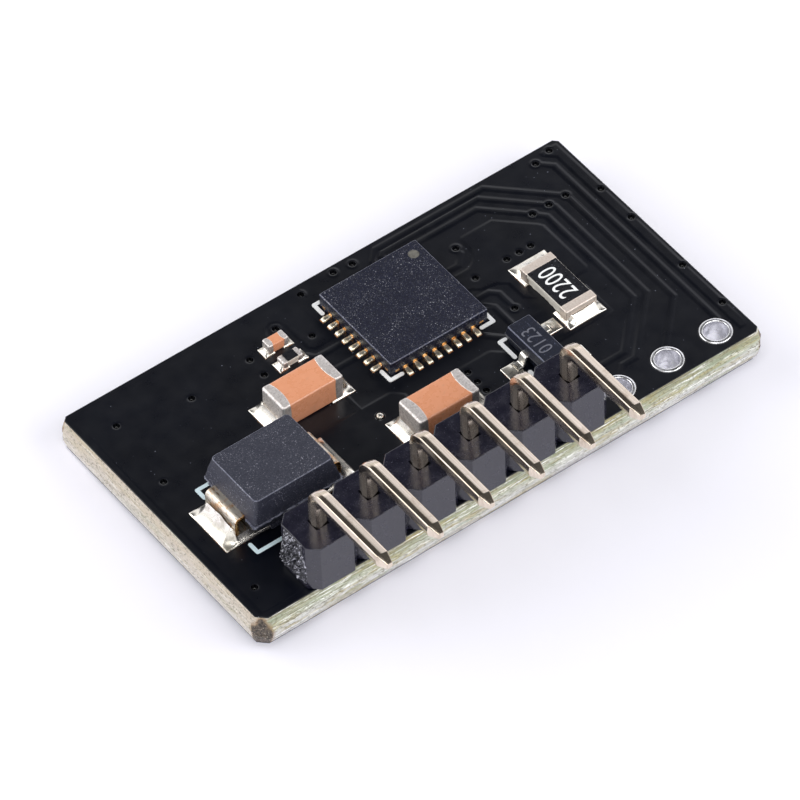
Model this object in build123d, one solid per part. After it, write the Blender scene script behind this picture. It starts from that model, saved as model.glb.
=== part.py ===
from build123d import *
import math
import os

# A small power over ethernet module: a black circuit board with a right-angled six-pin header, a
# leadless controller, three ceramic capacitors, two chip resistors, a surge diode and a transistor.
#
# Millimetres, +Z up. The origin is the centre of the board's underside. +X runs along the row of
# pins and -Y is the side that the bent pins reach out over. A place is an x, y pair in that frame.

# The board, and the layers on it.
board_length = 25.6
board_width = 13.86
board_thickness = 1.6
board_left = -board_length / 2
board_right = board_length / 2
board_front = -board_width / 2
board_back = board_width / 2
mask_thickness = 0.04
copper_thickness = 0.035
mask_over_copper = 0.025
ink_thickness = 0.015

# The edges were scored from both faces and snapped, so a web stands proud between two slopes.
score_depth = 0.15
web_thickness = 0.5
front_corner_cut = 0.38
back_corner_cut = 0.2

# The row of plated holes. The first six hold pins, and the others are open.
pin_pitch = 2.54
hole_count = 9
pin_count = 6
last_hole_from_edge = 1.515
hole_row_from_edge = 1.033
bore_radius = 0.53
barrel_wall = 0.06
ring_radius = 0.72
ring_rise = 0.04
ring_round = 0.03

# The header. Its left end was snapped off a longer strip and keeps a torn stub.
housing_depth = 2.5
housing_height = 2.5
cell_chamfer = 0.45
stub_width = 1.65
stub_height = 2.1
stub_reach = 0.26
stub_lift = 0.38
pin_size = 0.64
pin_edge_radius = 0.05
pin_hole_clearance = 0.01
pin_tail = 0.7
pin_tip_size = 0.3
arm_tip_length = 0.5
tail_tip_length = 0.2
pin_bend_radius = 0.6
pin_arm_height = 5.93
pin_arm_reach = 4.88
joint_height = 0.42
joint_base_radius = 0.7
joint_tip_radius = 0.48
joint_fill = 1.5

# Vias are small plated holes under the mask, which sags into each one.
via_radius = 0.17
via_wall = 0.025
via_pad_radius = 0.25
plug_depth = 0.3
dimple_depth = 0.2
dimple_top_radius = 0.12
dimple_bottom_radius = 0.06
filled_via_rise = 0.1
filled_via_round = 0.09

# Solder, and the film of it that parts sit on.
solder_film = 0.03
tin_coat = 0.045
wedge_sag = 0.32

# The leadless controller.
controller_place = (1.72, 2.89)
controller_size = 5.0
controller_height = 0.72
controller_edge = 0.03
land_pitch = 0.5
lands_per_side = 8
land_width = 0.25
land_length = 0.4
leadframe_thickness = 0.2
paddle_size = 3.3
tie_bar_width = 0.2
tie_bar_thickness = 0.12
tie_bar_from_corner = 0.33
pad_reach = 0.46
pad_under = 0.38
controller_climb = 0.17
crest_width = 0.06
dot_offset = (1.95, 1.87)
dot_radius = 0.3
dot_depth = 0.03

# The two large chip capacitors.
large_length = 3.06
large_width = 1.52
large_height = 1.3
large_band_middle = 0.5
large_band_edge = 0.35
large_climb = 0.6
left_capacitor_place = (-4.48, 1.47)
left_capacitor_pad_shift = (0.02, 0.13)
right_capacitor_place = (-0.53, -2.60)
right_capacitor_pad_shift = (0.03, 0.11)
large_pad_span = 4.15
large_pad_length = 1.15
large_pad_width = 1.87

# The small chip capacitor and the small chip resistor.
small_length = 1.0
small_width = 0.5
small_capacitor_height = 0.5
small_resistor_height = 0.35
small_band_middle = 0.24
small_band_edge = 0.2
small_climb = 0.22
small_capacitor_place = (-3.55, 4.68)
small_resistor_place = (-3.54, 3.66)
small_pad_span = 1.46
small_pad_length = 0.52
small_pad_width = 0.62

# The sense resistor, which lies across the board.
sense_length = 3.15
sense_width = 1.55
sense_height = 0.58
sense_band = 0.42
sense_climb = 0.35
sense_place = (7.50, -0.15)
sense_pad_shift = (0.14, -0.04)
sense_pad_span = 4.28
sense_pad_length = 1.2
sense_pad_width = 1.92

# Skins on the chip parts.
plating = 0.03
chip_edge_radius = 0.1
ceramic_edge_radius = 0.06
overcoat_rise = 0.03

# The surge diode, with two wide straps that fold under its moulding.
diode_place = (board_left + 4.42, -1.81)
diode_top_size = (3.79, 3.02)
diode_waist_size = (4.4, 3.55)
diode_foot_size = (4.1, 3.25)
diode_height = 2.3
diode_waist_height = 1.1
diode_edge_radius = 0.1
diode_keel_size = (2.4, 3.0)
diode_keel_gap = 0.08
strap_width = 2.1
strap_thickness = 0.2
strap_span = 5.34
strap_fold = 1.3
strap_root = 0.4
strap_climb = 0.5
strap_clearance = 0.01
diode_pad_span = 6.67
diode_pad_length = 2.3
diode_pad_width = 2.67

# The transistor, with one lead on its left side and two on its right.
transistor_y = -2.44
transistor_size = (1.3, 2.9)
transistor_land_gap = 0.13
transistor_height = 1.0
transistor_draft = 0.09
transistor_waist_height = 0.55
transistor_gap = 0.06
gull_width = 0.42
gull_thickness = 0.12
gull_span = 2.5
gull_foot = 0.36
gull_slope = 0.12
gull_root = 0.2
gull_spread = 1.9
gull_climb = 0.08
gull_bead = 0.06
gull_pad_span = 3.5
gull_pad_length = 0.8
gull_pad_width = 0.72

# Tracks and copper areas, which show as ridges in the mask. The three signal tracks run from the
# controller's back row to a row of vias, down the right side and back to three of the holes.
track_width = 0.24
land_reach = 0.2
track_bend = 0.3
bypass_bend = 0.48
switch_stub = 0.25
switch_inset = 0.25
switch_end = 0.6
drive_track_x = 4.92
feed_track_x = -2.92
feed_track_y = (0.87, -0.58)
signal_via_from_back = 2.89
signal_via_from_right = (3.45, 2.58, 1.70)
signal_via_slack = 0.05
lane_from_back = (1.20, 0.75, 0.40)
lane_from_right = (3.03, 2.42, 1.67)
lane_from_row = (1.437, 0.907, 0.297)
lane_turn_drop = (0.11, 0.14, 0.48)
lane_end_rise = (2.18, 2.58, 2.32)
edge_lane_x = board_right - 1.02
edge_lane_via = (board_right - 1.59, board_back - 0.67)
gate_via = (5.53, 0.27)
bypass_via = (5.63, 4.47)
filter_via = (-2.97, 5.48)
filled_via = (-2.44, -1.06)
plain_vias = [
    (board_left + 0.90, board_front + 1.63), (board_left + 1.29, 1.53),
    (board_left + 1.53, board_back - 1.74), (board_left + 4.84, board_back - 2.42),
    (-1.01, board_back - 0.54), (0.79, board_back - 0.38), (1.71, board_back - 0.48),
    (-2.00, 4.24), (5.27, 2.63), (-4.83, 4.74), (-4.84, 3.71),
    (1.84, -1.37), (1.84, -2.03), (1.84, -2.64), (8.19, 2.66), (7.59, 2.66), (6.94, 2.66),
    (board_right - 0.67, board_back - 0.41), (board_right - 0.30, 3.42), (board_right - 0.30, 1.34),
    (board_right - 0.30, -2.12), (board_right - 0.30, board_front + 2.13),
]
return_area = [
    (4.30, 3.24), (5.30, 3.24), (5.62, 3.36), (5.92, 3.68), (6.08, 4.08), (6.10, 4.74),
    (6.20, 4.84), (7.78, 4.84), (9.18, 3.46), (9.33, 3.24), (9.33, 0.30), (9.18, 0.12),
    (6.60, 0.12), (6.18, 0.50), (6.17, 1.50), (5.80, 1.82), (5.05, 1.95), (4.75, 2.20),
    (4.30, 2.20),
]
sense_area = [(5.80, -0.53), (8.66, -0.53), (8.66, -2.36), (5.80, -2.36)]
ground_area = [
    (board_left + 0.30, board_front + 0.33), (board_left + 0.30, board_back - 0.31),
    (-1.35, board_back - 0.31), (-1.35, 3.55), (-2.30, 3.55), (-2.55, 3.80), (-2.55, 5.45),
    (-2.68, 5.75), (-2.95, 5.88), (-3.25, 5.75), (-3.45, 5.45), (-3.45, 2.75), (-4.90, 2.75),
    (-4.90, 0.35), (diode_place[0] - 0.02, 0.35), (diode_place[0] - 0.02, board_front + 0.33),
]
feed_area = [
    (diode_place[0] + 1.58, -0.28), (-1.35, -0.28), (-0.90, -0.72), (-0.90, -4.20),
    (diode_place[0] + 1.58, -4.20),
]
source_area = [
    (0.20, -0.99), (3.15, -0.99), (3.32, -1.05), (3.76, -1.45), (3.76, -4.20), (0.20, -4.20),
]
edge_area = [
    (board_right - 0.63, board_front + 0.53), (board_right - 0.63, board_back - 0.91),
    (board_right - 0.90, board_back - 0.66), (board_right - 1.08, board_back - 0.46),
    (board_right - 1.13, board_back - 0.27), (board_right - 0.18, board_back - 0.27),
    (board_right - 0.18, board_front + 0.53),
]

# Legend ink: corner marks round the controller, and brackets beside the diode and the transistor.
ink_width = 0.18
controller_mark_gap = 0.16
controller_mark_arm = 0.6
diode_mark_gap = (0.14, 0.325)
diode_mark_return = 0.52
transistor_mark_gap = (0.18, 0.11)
transistor_mark_arms = (0.28, 1.05)

# Heights and places that follow from the values above.
laminate_bottom = mask_thickness
laminate_top = board_thickness - mask_thickness
copper_top = laminate_top + copper_thickness
copper_bottom = laminate_bottom - copper_thickness
ridge_top = copper_top + mask_over_copper
seat = copper_top + solder_film
ring_top = copper_top + ring_rise
web_bottom = (board_thickness - web_thickness) / 2
web_top = web_bottom + web_thickness
first_hole_x = board_right - last_hole_from_edge - pin_pitch * (hole_count - 1)
hole_row_y = board_front + hole_row_from_edge
hole_x = [first_hole_x + pin_pitch * index for index in range(hole_count)]
pin_x = hole_x[:pin_count]
signal_via_y = board_back - signal_via_from_back
signal_via_x = [board_right - inset for inset in signal_via_from_right]
signal_vias = [(x, signal_via_y) for x in signal_via_x]
mask_vias = plain_vias + signal_vias + [edge_lane_via, gate_via, bypass_via, filter_via]
all_vias = mask_vias + [filled_via]

sense_lands_left = sense_place[0] - sense_pad_shift[1] - sense_pad_width / 2
transistor_place = (sense_lands_left - transistor_land_gap - gull_pad_span / 2, transistor_y)
large_pads = (large_pad_span, large_pad_length, large_pad_width)
small_pads = (small_pad_span, small_pad_length, small_pad_width)
sense_pads = (sense_pad_span, sense_pad_length, sense_pad_width)
diode_pads = (diode_pad_span, diode_pad_length, diode_pad_width)
large_capacitor_size = (large_length, large_width, large_height)
small_capacitor_size = (small_length, small_width, small_capacitor_height)
small_resistor_size = (small_length, small_width, small_resistor_height)
sense_resistor_size = (sense_length, sense_width, sense_height)

parts = {}


# Small tools.

def block(x_low, x_high, y_low, y_high, z_low, z_high):
    """A box between the given limits."""
    middle = ((x_low + x_high) / 2, (y_low + y_high) / 2, (z_low + z_high) / 2)
    return Pos(*middle) * Box(x_high - x_low, y_high - y_low, z_high - z_low)


def prism(shape, z_low, z_high):
    """A flat shape raised from one height to another."""
    return extrude(Pos(0, 0, z_low) * shape, amount=z_high - z_low)


def area(points):
    """A flat face inside straight edges."""
    return make_face(Polyline(*points, close=True))


def strip(points, width):
    """A flat strip of one width with round ends and corners."""
    pieces = []
    for start, end in zip(points, points[1:]):
        run = math.hypot(end[0] - start[0], end[1] - start[1])
        turn = math.degrees(math.atan2(end[1] - start[1], end[0] - start[0]))
        middle = ((start[0] + end[0]) / 2, (start[1] + end[1]) / 2)
        pieces.append(Pos(*middle) * Rot(0, 0, turn) * SlotCenterToCenter(run, width))
    return Sketch() + pieces


def at(place, shape, turn=0):
    """A shape turned about +Z and moved to a place on the board."""
    return Pos(place[0], place[1]) * Rot(0, 0, turn) * shape


def group(shapes):
    """Separate solids kept together as one node."""
    solids = []
    for shape in shapes:
        solids.extend(shape.solids())
    return Compound(solids)


def frustum(low_size, high_size, z_low, z_high):
    """A straight-sided block that changes from one rectangle to another."""
    low = Pos(0, 0, z_low) * Rectangle(*low_size)
    high = Pos(0, 0, z_high) * Rectangle(*high_size)
    return loft([low, high], ruled=True)


# Lands, tracks and areas as flat shapes.

def pad_pair(pads, place, shift=(0, 0), turn=0):
    """Two lands at the ends of a chip part; shift is from the part's centre, before the turn."""
    span, length, width = pads
    reach = (span - length) / 2
    lands = []
    for side in (-1, 1):
        land = Pos(shift[0] + side * reach, shift[1]) * Rectangle(length, width)
        lands.append(at(place, land, turn))
    return lands


def land_place(side, index, reach):
    """A point out from one controller land. Sides run right, back, left, front."""
    across = land_pitch * (index - (lands_per_side - 1) / 2)
    out = controller_size / 2 + reach
    x, y = [(out, across), (across, out), (-out, across), (across, -out)][side]
    return controller_place[0] + x, controller_place[1] + y


def around_controller(shape):
    """Copies of one shape, drawn at the right side's middle, at all 32 lands."""
    copies = []
    for side in range(4):
        for index in range(lands_per_side):
            across = land_pitch * (index - (lands_per_side - 1) / 2)
            copies.append(at(controller_place, Pos(0, across) * shape, 90 * side))
    return copies


def controller_pads():
    """The controller's 32 lands on the board."""
    length = pad_reach + pad_under
    middle = controller_size / 2 + (pad_reach - pad_under) / 2
    return around_controller(Pos(middle, 0) * Rectangle(length, land_width))


def transistor_pads():
    """One land on the left and two on the right."""
    reach = (gull_pad_span - gull_pad_length) / 2
    spots = [(-reach, 0), (reach, gull_spread / 2), (reach, -gull_spread / 2)]
    land = Rectangle(gull_pad_length, gull_pad_width)
    return [at(transistor_place, Pos(x, y) * land) for x, y in spots]


def all_pads():
    """Every land that the mask leaves open, apart from the hole rings."""
    paddle = [at(controller_place, Rectangle(paddle_size, paddle_size))]
    left = pad_pair(large_pads, left_capacitor_place, left_capacitor_pad_shift)
    right = pad_pair(large_pads, right_capacitor_place, right_capacitor_pad_shift)
    small = pad_pair(small_pads, small_capacitor_place) + pad_pair(small_pads, small_resistor_place)
    sense = pad_pair(sense_pads, sense_place, sense_pad_shift, 90)
    diode = pad_pair(diode_pads, diode_place)
    return controller_pads() + paddle + left + right + small + sense + diode + transistor_pads()


def signal_track(lane):
    """One of the three long tracks, from a back land of the controller to a hole."""
    land = land_place(1, lands_per_side - 1 - lane, land_reach)
    via_x = signal_via_x[lane]
    back_y = board_back - lane_from_back[lane]
    turn_y = back_y - lane_turn_drop[lane]
    right_x = board_right - lane_from_right[lane]
    front_y = hole_row_y + lane_from_row[lane]
    end_y = front_y + lane_end_rise[lane]
    hole = hole_x[pin_count - 1 + lane]
    return [
        land,
        (land[0], turn_y),
        (land[0] + back_y - turn_y, back_y),
        (via_x - (back_y - signal_via_y), back_y),
        (via_x, signal_via_y),
        (right_x, signal_via_y - (right_x - via_x) - signal_via_slack),
        (right_x, end_y),
        (right_x - (end_y - front_y), front_y),
        (hole + front_y - hole_row_y, front_y),
        (hole, hole_row_y),
    ]


def short_tracks():
    """The other tracks, each from a land or via to the part that it feeds."""
    edge_hole = hole_x[-1]
    edge_drop = edge_lane_x - edge_hole
    edge_lane = [
        edge_lane_via,
        (edge_lane_x, edge_lane_via[1] - (edge_lane_x - edge_lane_via[0])),
        (edge_lane_x, hole_row_y + edge_drop),
        (edge_hole, hole_row_y),
    ]
    land = land_place(0, 1, land_reach)
    gate = [land, (gate_via[0] - track_bend, land[1]), (gate_via[0], land[1] - track_bend), gate_via]
    land = land_place(0, 0, land_reach)
    lead_y = transistor_place[1] + gull_spread / 2
    drive = [
        land,
        (drive_track_x - track_bend, land[1]),
        (drive_track_x, land[1] - track_bend),
        (drive_track_x, lead_y),
        (transistor_place[0] + gull_span / 2, lead_y),
    ]
    land = land_place(0, 5, land_reach)
    bypass = [
        land,
        (bypass_via[0] - bypass_bend, land[1]),
        (bypass_via[0], land[1] + bypass_bend),
        bypass_via,
    ]
    land = land_place(3, lands_per_side - 1, land_reach)
    turn_y = land[1] - switch_stub
    switch_x = transistor_place[0] - switch_inset
    switch = [
        land,
        (land[0], turn_y),
        (switch_x, turn_y - (switch_x - land[0])),
        (switch_x, transistor_place[1] + switch_end),
    ]
    land = land_place(2, 4, land_reach)
    resistor_end = (small_resistor_place[0] + small_length / 2, small_resistor_place[1])
    capacitor_end = (small_capacitor_place[0] + small_length / 2, small_capacitor_place[1])
    corner = (resistor_end[0] + resistor_end[1] - land[1], land[1])
    filter_run = [land, corner, resistor_end, capacitor_end, filter_via]
    land = land_place(2, 2, land_reach)
    supply = [land, (left_capacitor_place[0] + large_length / 2, land[1])]
    feed = [(feed_track_x, y) for y in feed_track_y]
    return [edge_lane, gate, drive, bypass, switch, filter_run, supply, feed]


def copper_shape():
    """Every track, area and land of the top copper, as one flat shape."""
    lanes = [signal_track(lane) for lane in range(len(signal_via_x))]
    strips = [strip(points, track_width) for points in lanes + short_tracks()]
    areas = [area(points) for points in (
        return_area, sense_area, ground_area, feed_area, source_area, edge_area,
    )]
    via_pads = [at(place, Circle(via_pad_radius)) for place in all_vias]
    shape = Sketch() + areas + strips + via_pads + all_pads()
    holes = [at(place, Circle(via_radius)) for place in all_vias]
    rings = [at((x, hole_row_y), Circle(ring_radius)) for x in hole_x]
    return shape - holes - rings


# The board.

def board_outline(grow):
    """The board's face, grown alike on all sides, with its cut corners."""
    x = board_length / 2 + grow
    y = board_width / 2 + grow
    front = front_corner_cut + 2 * grow
    back = back_corner_cut + 2 * grow
    return area([
        (-x + front, -y), (x - front, -y), (x, -y + front), (x, y - back),
        (x - back, y), (-x + back, y), (-x, y - back), (-x, -y + front),
    ])


def row_holes(radius, z_low, z_high):
    """Plugs of one radius at the nine row holes."""
    return [at((x, hole_row_y), prism(Circle(radius), z_low, z_high)) for x in hole_x]


def via_holes(places, radius, z_low, z_high):
    """Plugs of one radius at the given vias."""
    return [at(place, prism(Circle(radius), z_low, z_high)) for place in places]


def make_laminate():
    """The glass epoxy blank: two slopes and the snapped web between them."""
    face_low = Pos(0, 0, laminate_bottom) * board_outline(0)
    web_low = Pos(0, 0, web_bottom) * board_outline(score_depth)
    web_high = Pos(0, 0, web_top) * board_outline(score_depth)
    face_high = Pos(0, 0, laminate_top) * board_outline(0)
    blank = loft([face_low, web_low], ruled=True)
    blank += prism(board_outline(score_depth), web_bottom, web_top)
    blank += loft([web_high, face_high], ruled=True)
    blank -= row_holes(bore_radius + barrel_wall, 0, board_thickness)
    blank -= via_holes(all_vias, via_radius, 0, board_thickness)
    parts["board_laminate"] = blank


def make_layers():
    """Top copper, both masks and the via barrels."""
    shape = copper_shape()
    copper = prism(shape, laminate_top, copper_top)
    parts["copper_tracks"] = copper

    mask = prism(board_outline(0), laminate_top, board_thickness)
    mask += prism(shape, laminate_top, ridge_top)
    mask -= prism(shape, laminate_top, copper_top)
    mask -= [prism(land, laminate_top, ridge_top) for land in all_pads()]
    mask -= row_holes(ring_radius, laminate_top, ridge_top)
    mask -= via_holes(all_vias, via_radius, laminate_top, copper_top)
    mask -= via_holes([filled_via], via_pad_radius, laminate_top, ridge_top)
    mask += via_holes(mask_vias, via_radius - via_wall, copper_top - plug_depth, ridge_top)
    dimple = Pos(0, 0, ridge_top - dimple_depth / 2)
    dimple *= Cone(dimple_bottom_radius, dimple_top_radius, dimple_depth)
    mask -= [at(place, dimple) for place in mask_vias]
    parts["solder_mask_top"] = mask

    under = prism(board_outline(0), 0, laminate_bottom)
    under -= row_holes(ring_radius, 0, laminate_bottom)
    parts["solder_mask_underside"] = under

    barrel = prism(Circle(via_radius) - Circle(via_radius - via_wall), laminate_bottom, copper_top)
    parts["via_barrels"] = group(at(place, barrel) for place in all_vias)

    fill = prism(Circle(via_radius - via_wall), copper_top - plug_depth, copper_top)
    dome = prism(Circle(via_pad_radius), copper_top, copper_top + filled_via_rise)
    dome = fillet(dome.edges().group_by(Axis.Z)[-1], filled_via_round)
    parts["filled_via_solder"] = at(filled_via, fill + dome)


def make_barrel_plating():
    """Nine barrels, each with a tinned ring on both faces."""
    barrel_radius = bore_radius + barrel_wall
    barrel = prism(Circle(barrel_radius) - Circle(bore_radius), copper_bottom, copper_top)
    flat_ring = Circle(ring_radius) - Circle(bore_radius)
    top = prism(flat_ring, laminate_top, ring_top)
    top = fillet(top.edges().group_by(Axis.Z)[-1], ring_round)
    under = prism(flat_ring, copper_bottom, laminate_bottom)
    hole = barrel + top + under
    parts["barrel_plating"] = group(at((x, hole_row_y), hole) for x in hole_x)


def make_legend():
    """White ink marks, cut away where the mask rises into them."""
    marks = []
    arm = controller_mark_arm
    corner = controller_size / 2 + controller_mark_gap
    for x_side in (-1, 1):
        for y_side in (-1, 1):
            x = controller_place[0] + x_side * corner
            y = controller_place[1] + y_side * corner
            marks.append([(x - x_side * arm, y), (x, y), (x, y - y_side * arm)])
    for y_side in (-1, 1):
        reach = diode_waist_size[0] / 2 + diode_mark_gap[0]
        x_low = diode_place[0] - reach
        x_high = diode_place[0] + reach
        y = diode_place[1] + y_side * (diode_waist_size[1] / 2 + diode_mark_gap[1])
        y_end = y - y_side * diode_mark_return
        marks.append([(x_low, y_end), (x_low, y), (x_high, y), (x_high, y_end)])
        x = transistor_place[0] - transistor_size[0] / 2 - transistor_mark_gap[0]
        y = transistor_place[1] + y_side * (transistor_size[1] / 2 + transistor_mark_gap[1])
        across, along = transistor_mark_arms
        marks.append([(x + across, y), (x, y), (x, y - y_side * along)])
    ink_top = ridge_top + ink_thickness
    ink = [prism(strip(points, ink_width), board_thickness, ink_top) for points in marks]
    parts["legend_ink"] = group(mark - parts["solder_mask_top"] for mark in ink)


# The header.

def pin_section():
    """A pin's square section with its slightly round edges."""
    return RectangleRounded(pin_size, pin_size, pin_edge_radius)


def make_pin(index):
    """A square pin, straight up through the board and housing, then bent out to the front."""
    rise = pin_arm_height - pin_bend_radius
    tail_end = -pin_tail + tail_tip_length
    stem = prism(pin_section(), tail_end, rise)
    tail_tip = loft([Pos(0, 0, tail_end) * pin_section(), Pos(0, 0, -pin_tail) * small_section()])
    bend_axis = Axis((0, -pin_bend_radius, rise), (1, 0, 0))
    bend = revolve(Pos(0, 0, rise) * pin_section(), bend_axis, 90)
    arm_end = pin_arm_reach - arm_tip_length
    along_arm = Pos(0, 0, pin_arm_height) * Rot(90, 0, 0)
    arm = along_arm * prism(pin_section(), pin_bend_radius, arm_end)
    tip_low = Pos(0, 0, arm_end) * pin_section()
    tip_high = Pos(0, 0, pin_arm_reach) * small_section()
    arm_tip = along_arm * loft([tip_low, tip_high])
    pin = stem + bend + arm + tail_tip + arm_tip
    return at((pin_x[index], hole_row_y), pin)


def small_section():
    """The section at a pin's pointed ends."""
    return RectangleRounded(pin_tip_size, pin_tip_size, pin_edge_radius)


def housing_outline():
    """Six cells side by side, each with cut corners that leave a notch between two cells."""
    depth = housing_depth / 2
    half = pin_pitch / 2
    front = []
    back = []
    for x in pin_x:
        front += [(x - half, -depth + cell_chamfer), (x - half + cell_chamfer, -depth)]
        front += [(x + half - cell_chamfer, -depth)]
        back += [(x - half, depth - cell_chamfer), (x - half + cell_chamfer, depth)]
        back += [(x + half - cell_chamfer, depth)]
    right = pin_x[-1] + half
    front.append((right, -depth + cell_chamfer))
    back.append((right, depth - cell_chamfer))
    return area(front + back[::-1])


def torn_stub():
    """What is left of the next cell: a low uneven lump on the housing's left end."""
    w = stub_width / 2
    h = stub_height
    root = [(-w, 0), (w, 0.05 * h), (w, 0.6 * h), (0.7 * w, 0.96 * h), (-0.6 * w, h), (-w, 0.6 * h)]
    crest = [
        (-0.7 * w, 0.16 * h), (0.5 * w, 0.12 * h), (0.65 * w, 0.5 * h),
        (0.2 * w, 0.78 * h), (-0.4 * w, 0.84 * h), (-0.6 * w, 0.5 * h),
    ]
    left = pin_x[0] - pin_pitch / 2
    end_face = Plane((left, hole_row_y, ring_top + stub_lift), x_dir=(0, -1, 0), z_dir=(-1, 0, 0))
    return end_face * loft([area(root), Pos(0, 0, stub_reach) * area(crest)], ruled=True)


def make_header():
    """Housing, six pins and their solder joints."""
    top = ring_top + housing_height
    housing = Pos(0, hole_row_y) * prism(housing_outline(), ring_top, top)
    housing += torn_stub()
    hole_size = pin_size + 2 * pin_hole_clearance
    hole = prism(Rectangle(hole_size, hole_size), ring_top, top)
    housing -= [at((x, hole_row_y), hole) for x in pin_x]
    parts["header_housing"] = housing

    cone_height = joint_height + copper_bottom
    cone = Pos(0, 0, copper_bottom - cone_height / 2)
    cone *= Cone(joint_tip_radius, joint_base_radius, cone_height)
    joint = cone + prism(Circle(bore_radius), copper_bottom, joint_fill)
    joints = []
    for index in range(pin_count):
        pin = make_pin(index)
        parts[f"header_pin_{index + 1}"] = pin
        joints.append(at((pin_x[index], hole_row_y), joint) - pin)
    parts["header_pin_solder"] = group(joints)


# The controller.

def make_controller():
    """Package, leadframe and solder of the leadless controller."""
    half = controller_size / 2
    frame_top = seat + leadframe_thickness
    tie_bottom = frame_top - tie_bar_thickness
    land = block(half - land_length, half, -land_width / 2, land_width / 2, seat, frame_top)
    lands = around_controller(land)

    paddle_half = paddle_size / 2
    paddle = block(-paddle_half, paddle_half, -paddle_half, paddle_half, seat, frame_top)
    elbow = half - tie_bar_from_corner
    wide = tie_bar_width / 2
    diagonal = strip([(paddle_half - wide, paddle_half - wide), (elbow, elbow)], tie_bar_width)
    for side in range(4):
        bar = prism(diagonal, tie_bottom, frame_top)
        bar += block(elbow - wide, half, elbow - wide, elbow + wide, tie_bottom, frame_top)
        bar += block(elbow - wide, elbow + wide, elbow - wide, half, tie_bottom, frame_top)
        paddle += Rot(0, 0, 90 * side) * bar
    frame = lands + [at(controller_place, paddle)]
    parts["controller_leadframe"] = group(frame)

    body = block(-half, half, -half, half, seat, seat + controller_height)
    body = chamfer(body.edges().group_by(Axis.Z)[-1], controller_edge)
    top = seat + controller_height
    body -= Pos(*dot_offset) * prism(Circle(dot_radius), top - dot_depth, top)
    package = at(controller_place, body)
    for piece in frame:
        package -= piece
    parts["controller_package"] = package

    side_view = area([
        (half - pad_under, copper_top), (half + pad_reach, copper_top),
        (half + pad_reach, copper_top + tin_coat), (half + crest_width, copper_top + controller_climb),
        (half, copper_top + controller_climb), (half, seat), (half - pad_under, seat),
    ])
    bead = extrude(Rot(90, 0, 0) * side_view, amount=land_width / 2, both=True)
    film = block(-paddle_half, paddle_half, -paddle_half, paddle_half, copper_top, seat)
    parts["controller_solder"] = group(around_controller(bead) + [at(controller_place, film)])


# Chip parts. Each is drawn along X, centred, with its foot at z = 0.

def end_sphere(size, band_middle, band_edge):
    """A ball that cuts a plated end so that its rim bows towards the part's middle."""
    length, width, height = size
    gain = band_middle - band_edge
    beyond = ((width / 2) ** 2 / gain - band_middle - band_edge) / 2
    radius = math.hypot(band_middle + beyond, height / 2)
    return Pos(length / 2 + beyond, 0, height / 2) * Sphere(radius)


def make_capacitor(name, place, size, bands, edges):
    """A ceramic block with a plated cap on each end."""
    length, width, height = size
    outer = Pos(0, 0, height / 2) * Box(length, width, height)
    outer = fillet(outer.edges(), edges[0])
    inner_size = (length - 2 * plating, width - 2 * plating, height - 2 * plating)
    ceramic = Pos(0, 0, height / 2) * Box(*inner_size)
    ceramic = fillet(ceramic.edges(), edges[1])
    cap = (outer & end_sphere(size, *bands)) - ceramic
    lift = Pos(0, 0, seat)
    parts[f"{name}_ceramic"] = at(place, lift * ceramic)
    parts[f"{name}_terminal_left"] = at(place, lift * Rot(0, 0, 180) * cap)
    parts[f"{name}_terminal_right"] = at(place, lift * cap)
    return at(place, lift * outer)


def make_resistor(name, place, size, band, ends, turn=0):
    """An alumina block with a black overcoat and a plated band round each end."""
    length, width, height = size
    core_half = length / 2 - plating
    top = height - plating
    core = block(-core_half, core_half, -width / 2, width / 2, plating, top)
    coat_half = length / 2 - band
    coat_side = width / 2 - plating
    coat = block(-coat_half, coat_half, -coat_side, coat_side, top, height + overcoat_rise)
    cap = block(coat_half, length / 2, -width / 2, width / 2, 0, height) - core
    lift = Pos(0, 0, seat)
    parts[f"{name}_substrate"] = at(place, lift * core, turn)
    parts[f"{name}_overcoat"] = at(place, lift * coat, turn)
    parts[f"{name}_terminal_{ends[0]}"] = at(place, lift * Rot(0, 0, 180) * cap, turn)
    parts[f"{name}_terminal_{ends[1]}"] = at(place, lift * cap, turn)
    return at(place, lift * block(-length / 2, length / 2, -width / 2, width / 2, 0, height), turn)


def hollow_wedge(start, end, climb, width):
    """Solder that climbs an end face at x = start and thins out to x = end."""
    foot = copper_top + tin_coat
    crest = (start, seat + climb)
    toe = (end, foot)
    sag = (start + wedge_sag * (end - start), foot + wedge_sag * (seat + climb - foot))
    rim = ThreePointArc(crest, sag, toe)
    base = Polyline(toe, (end, copper_top), (start, copper_top), crest)
    side_view = make_face([*rim.edges(), *base.edges()])
    return extrude(Rot(90, 0, 0) * side_view, amount=width / 2, both=True)


def make_chip_solder(name, body, place, size, pads, climb, shift=(0, 0), turn=0):
    """Tinned lands with a hollow fillet up each end of a chip part."""
    span, _, pad_width = pads
    width = min(size[1], pad_width) - 2 * plating
    pieces = []
    lands = pad_pair(pads, place, shift, turn)
    for side, land in zip((-1, 1), lands):
        pad_end = span / 2 + side * shift[0]
        wedge = hollow_wedge(size[0] / 2, pad_end, climb, width)
        facing = 180 if side < 0 else 0
        coat = prism(land, copper_top, copper_top + tin_coat)
        pieces.append(coat + at(place, Rot(0, 0, facing) * wedge, turn) - body)
    parts[f"{name}_solder"] = group(pieces)


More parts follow.
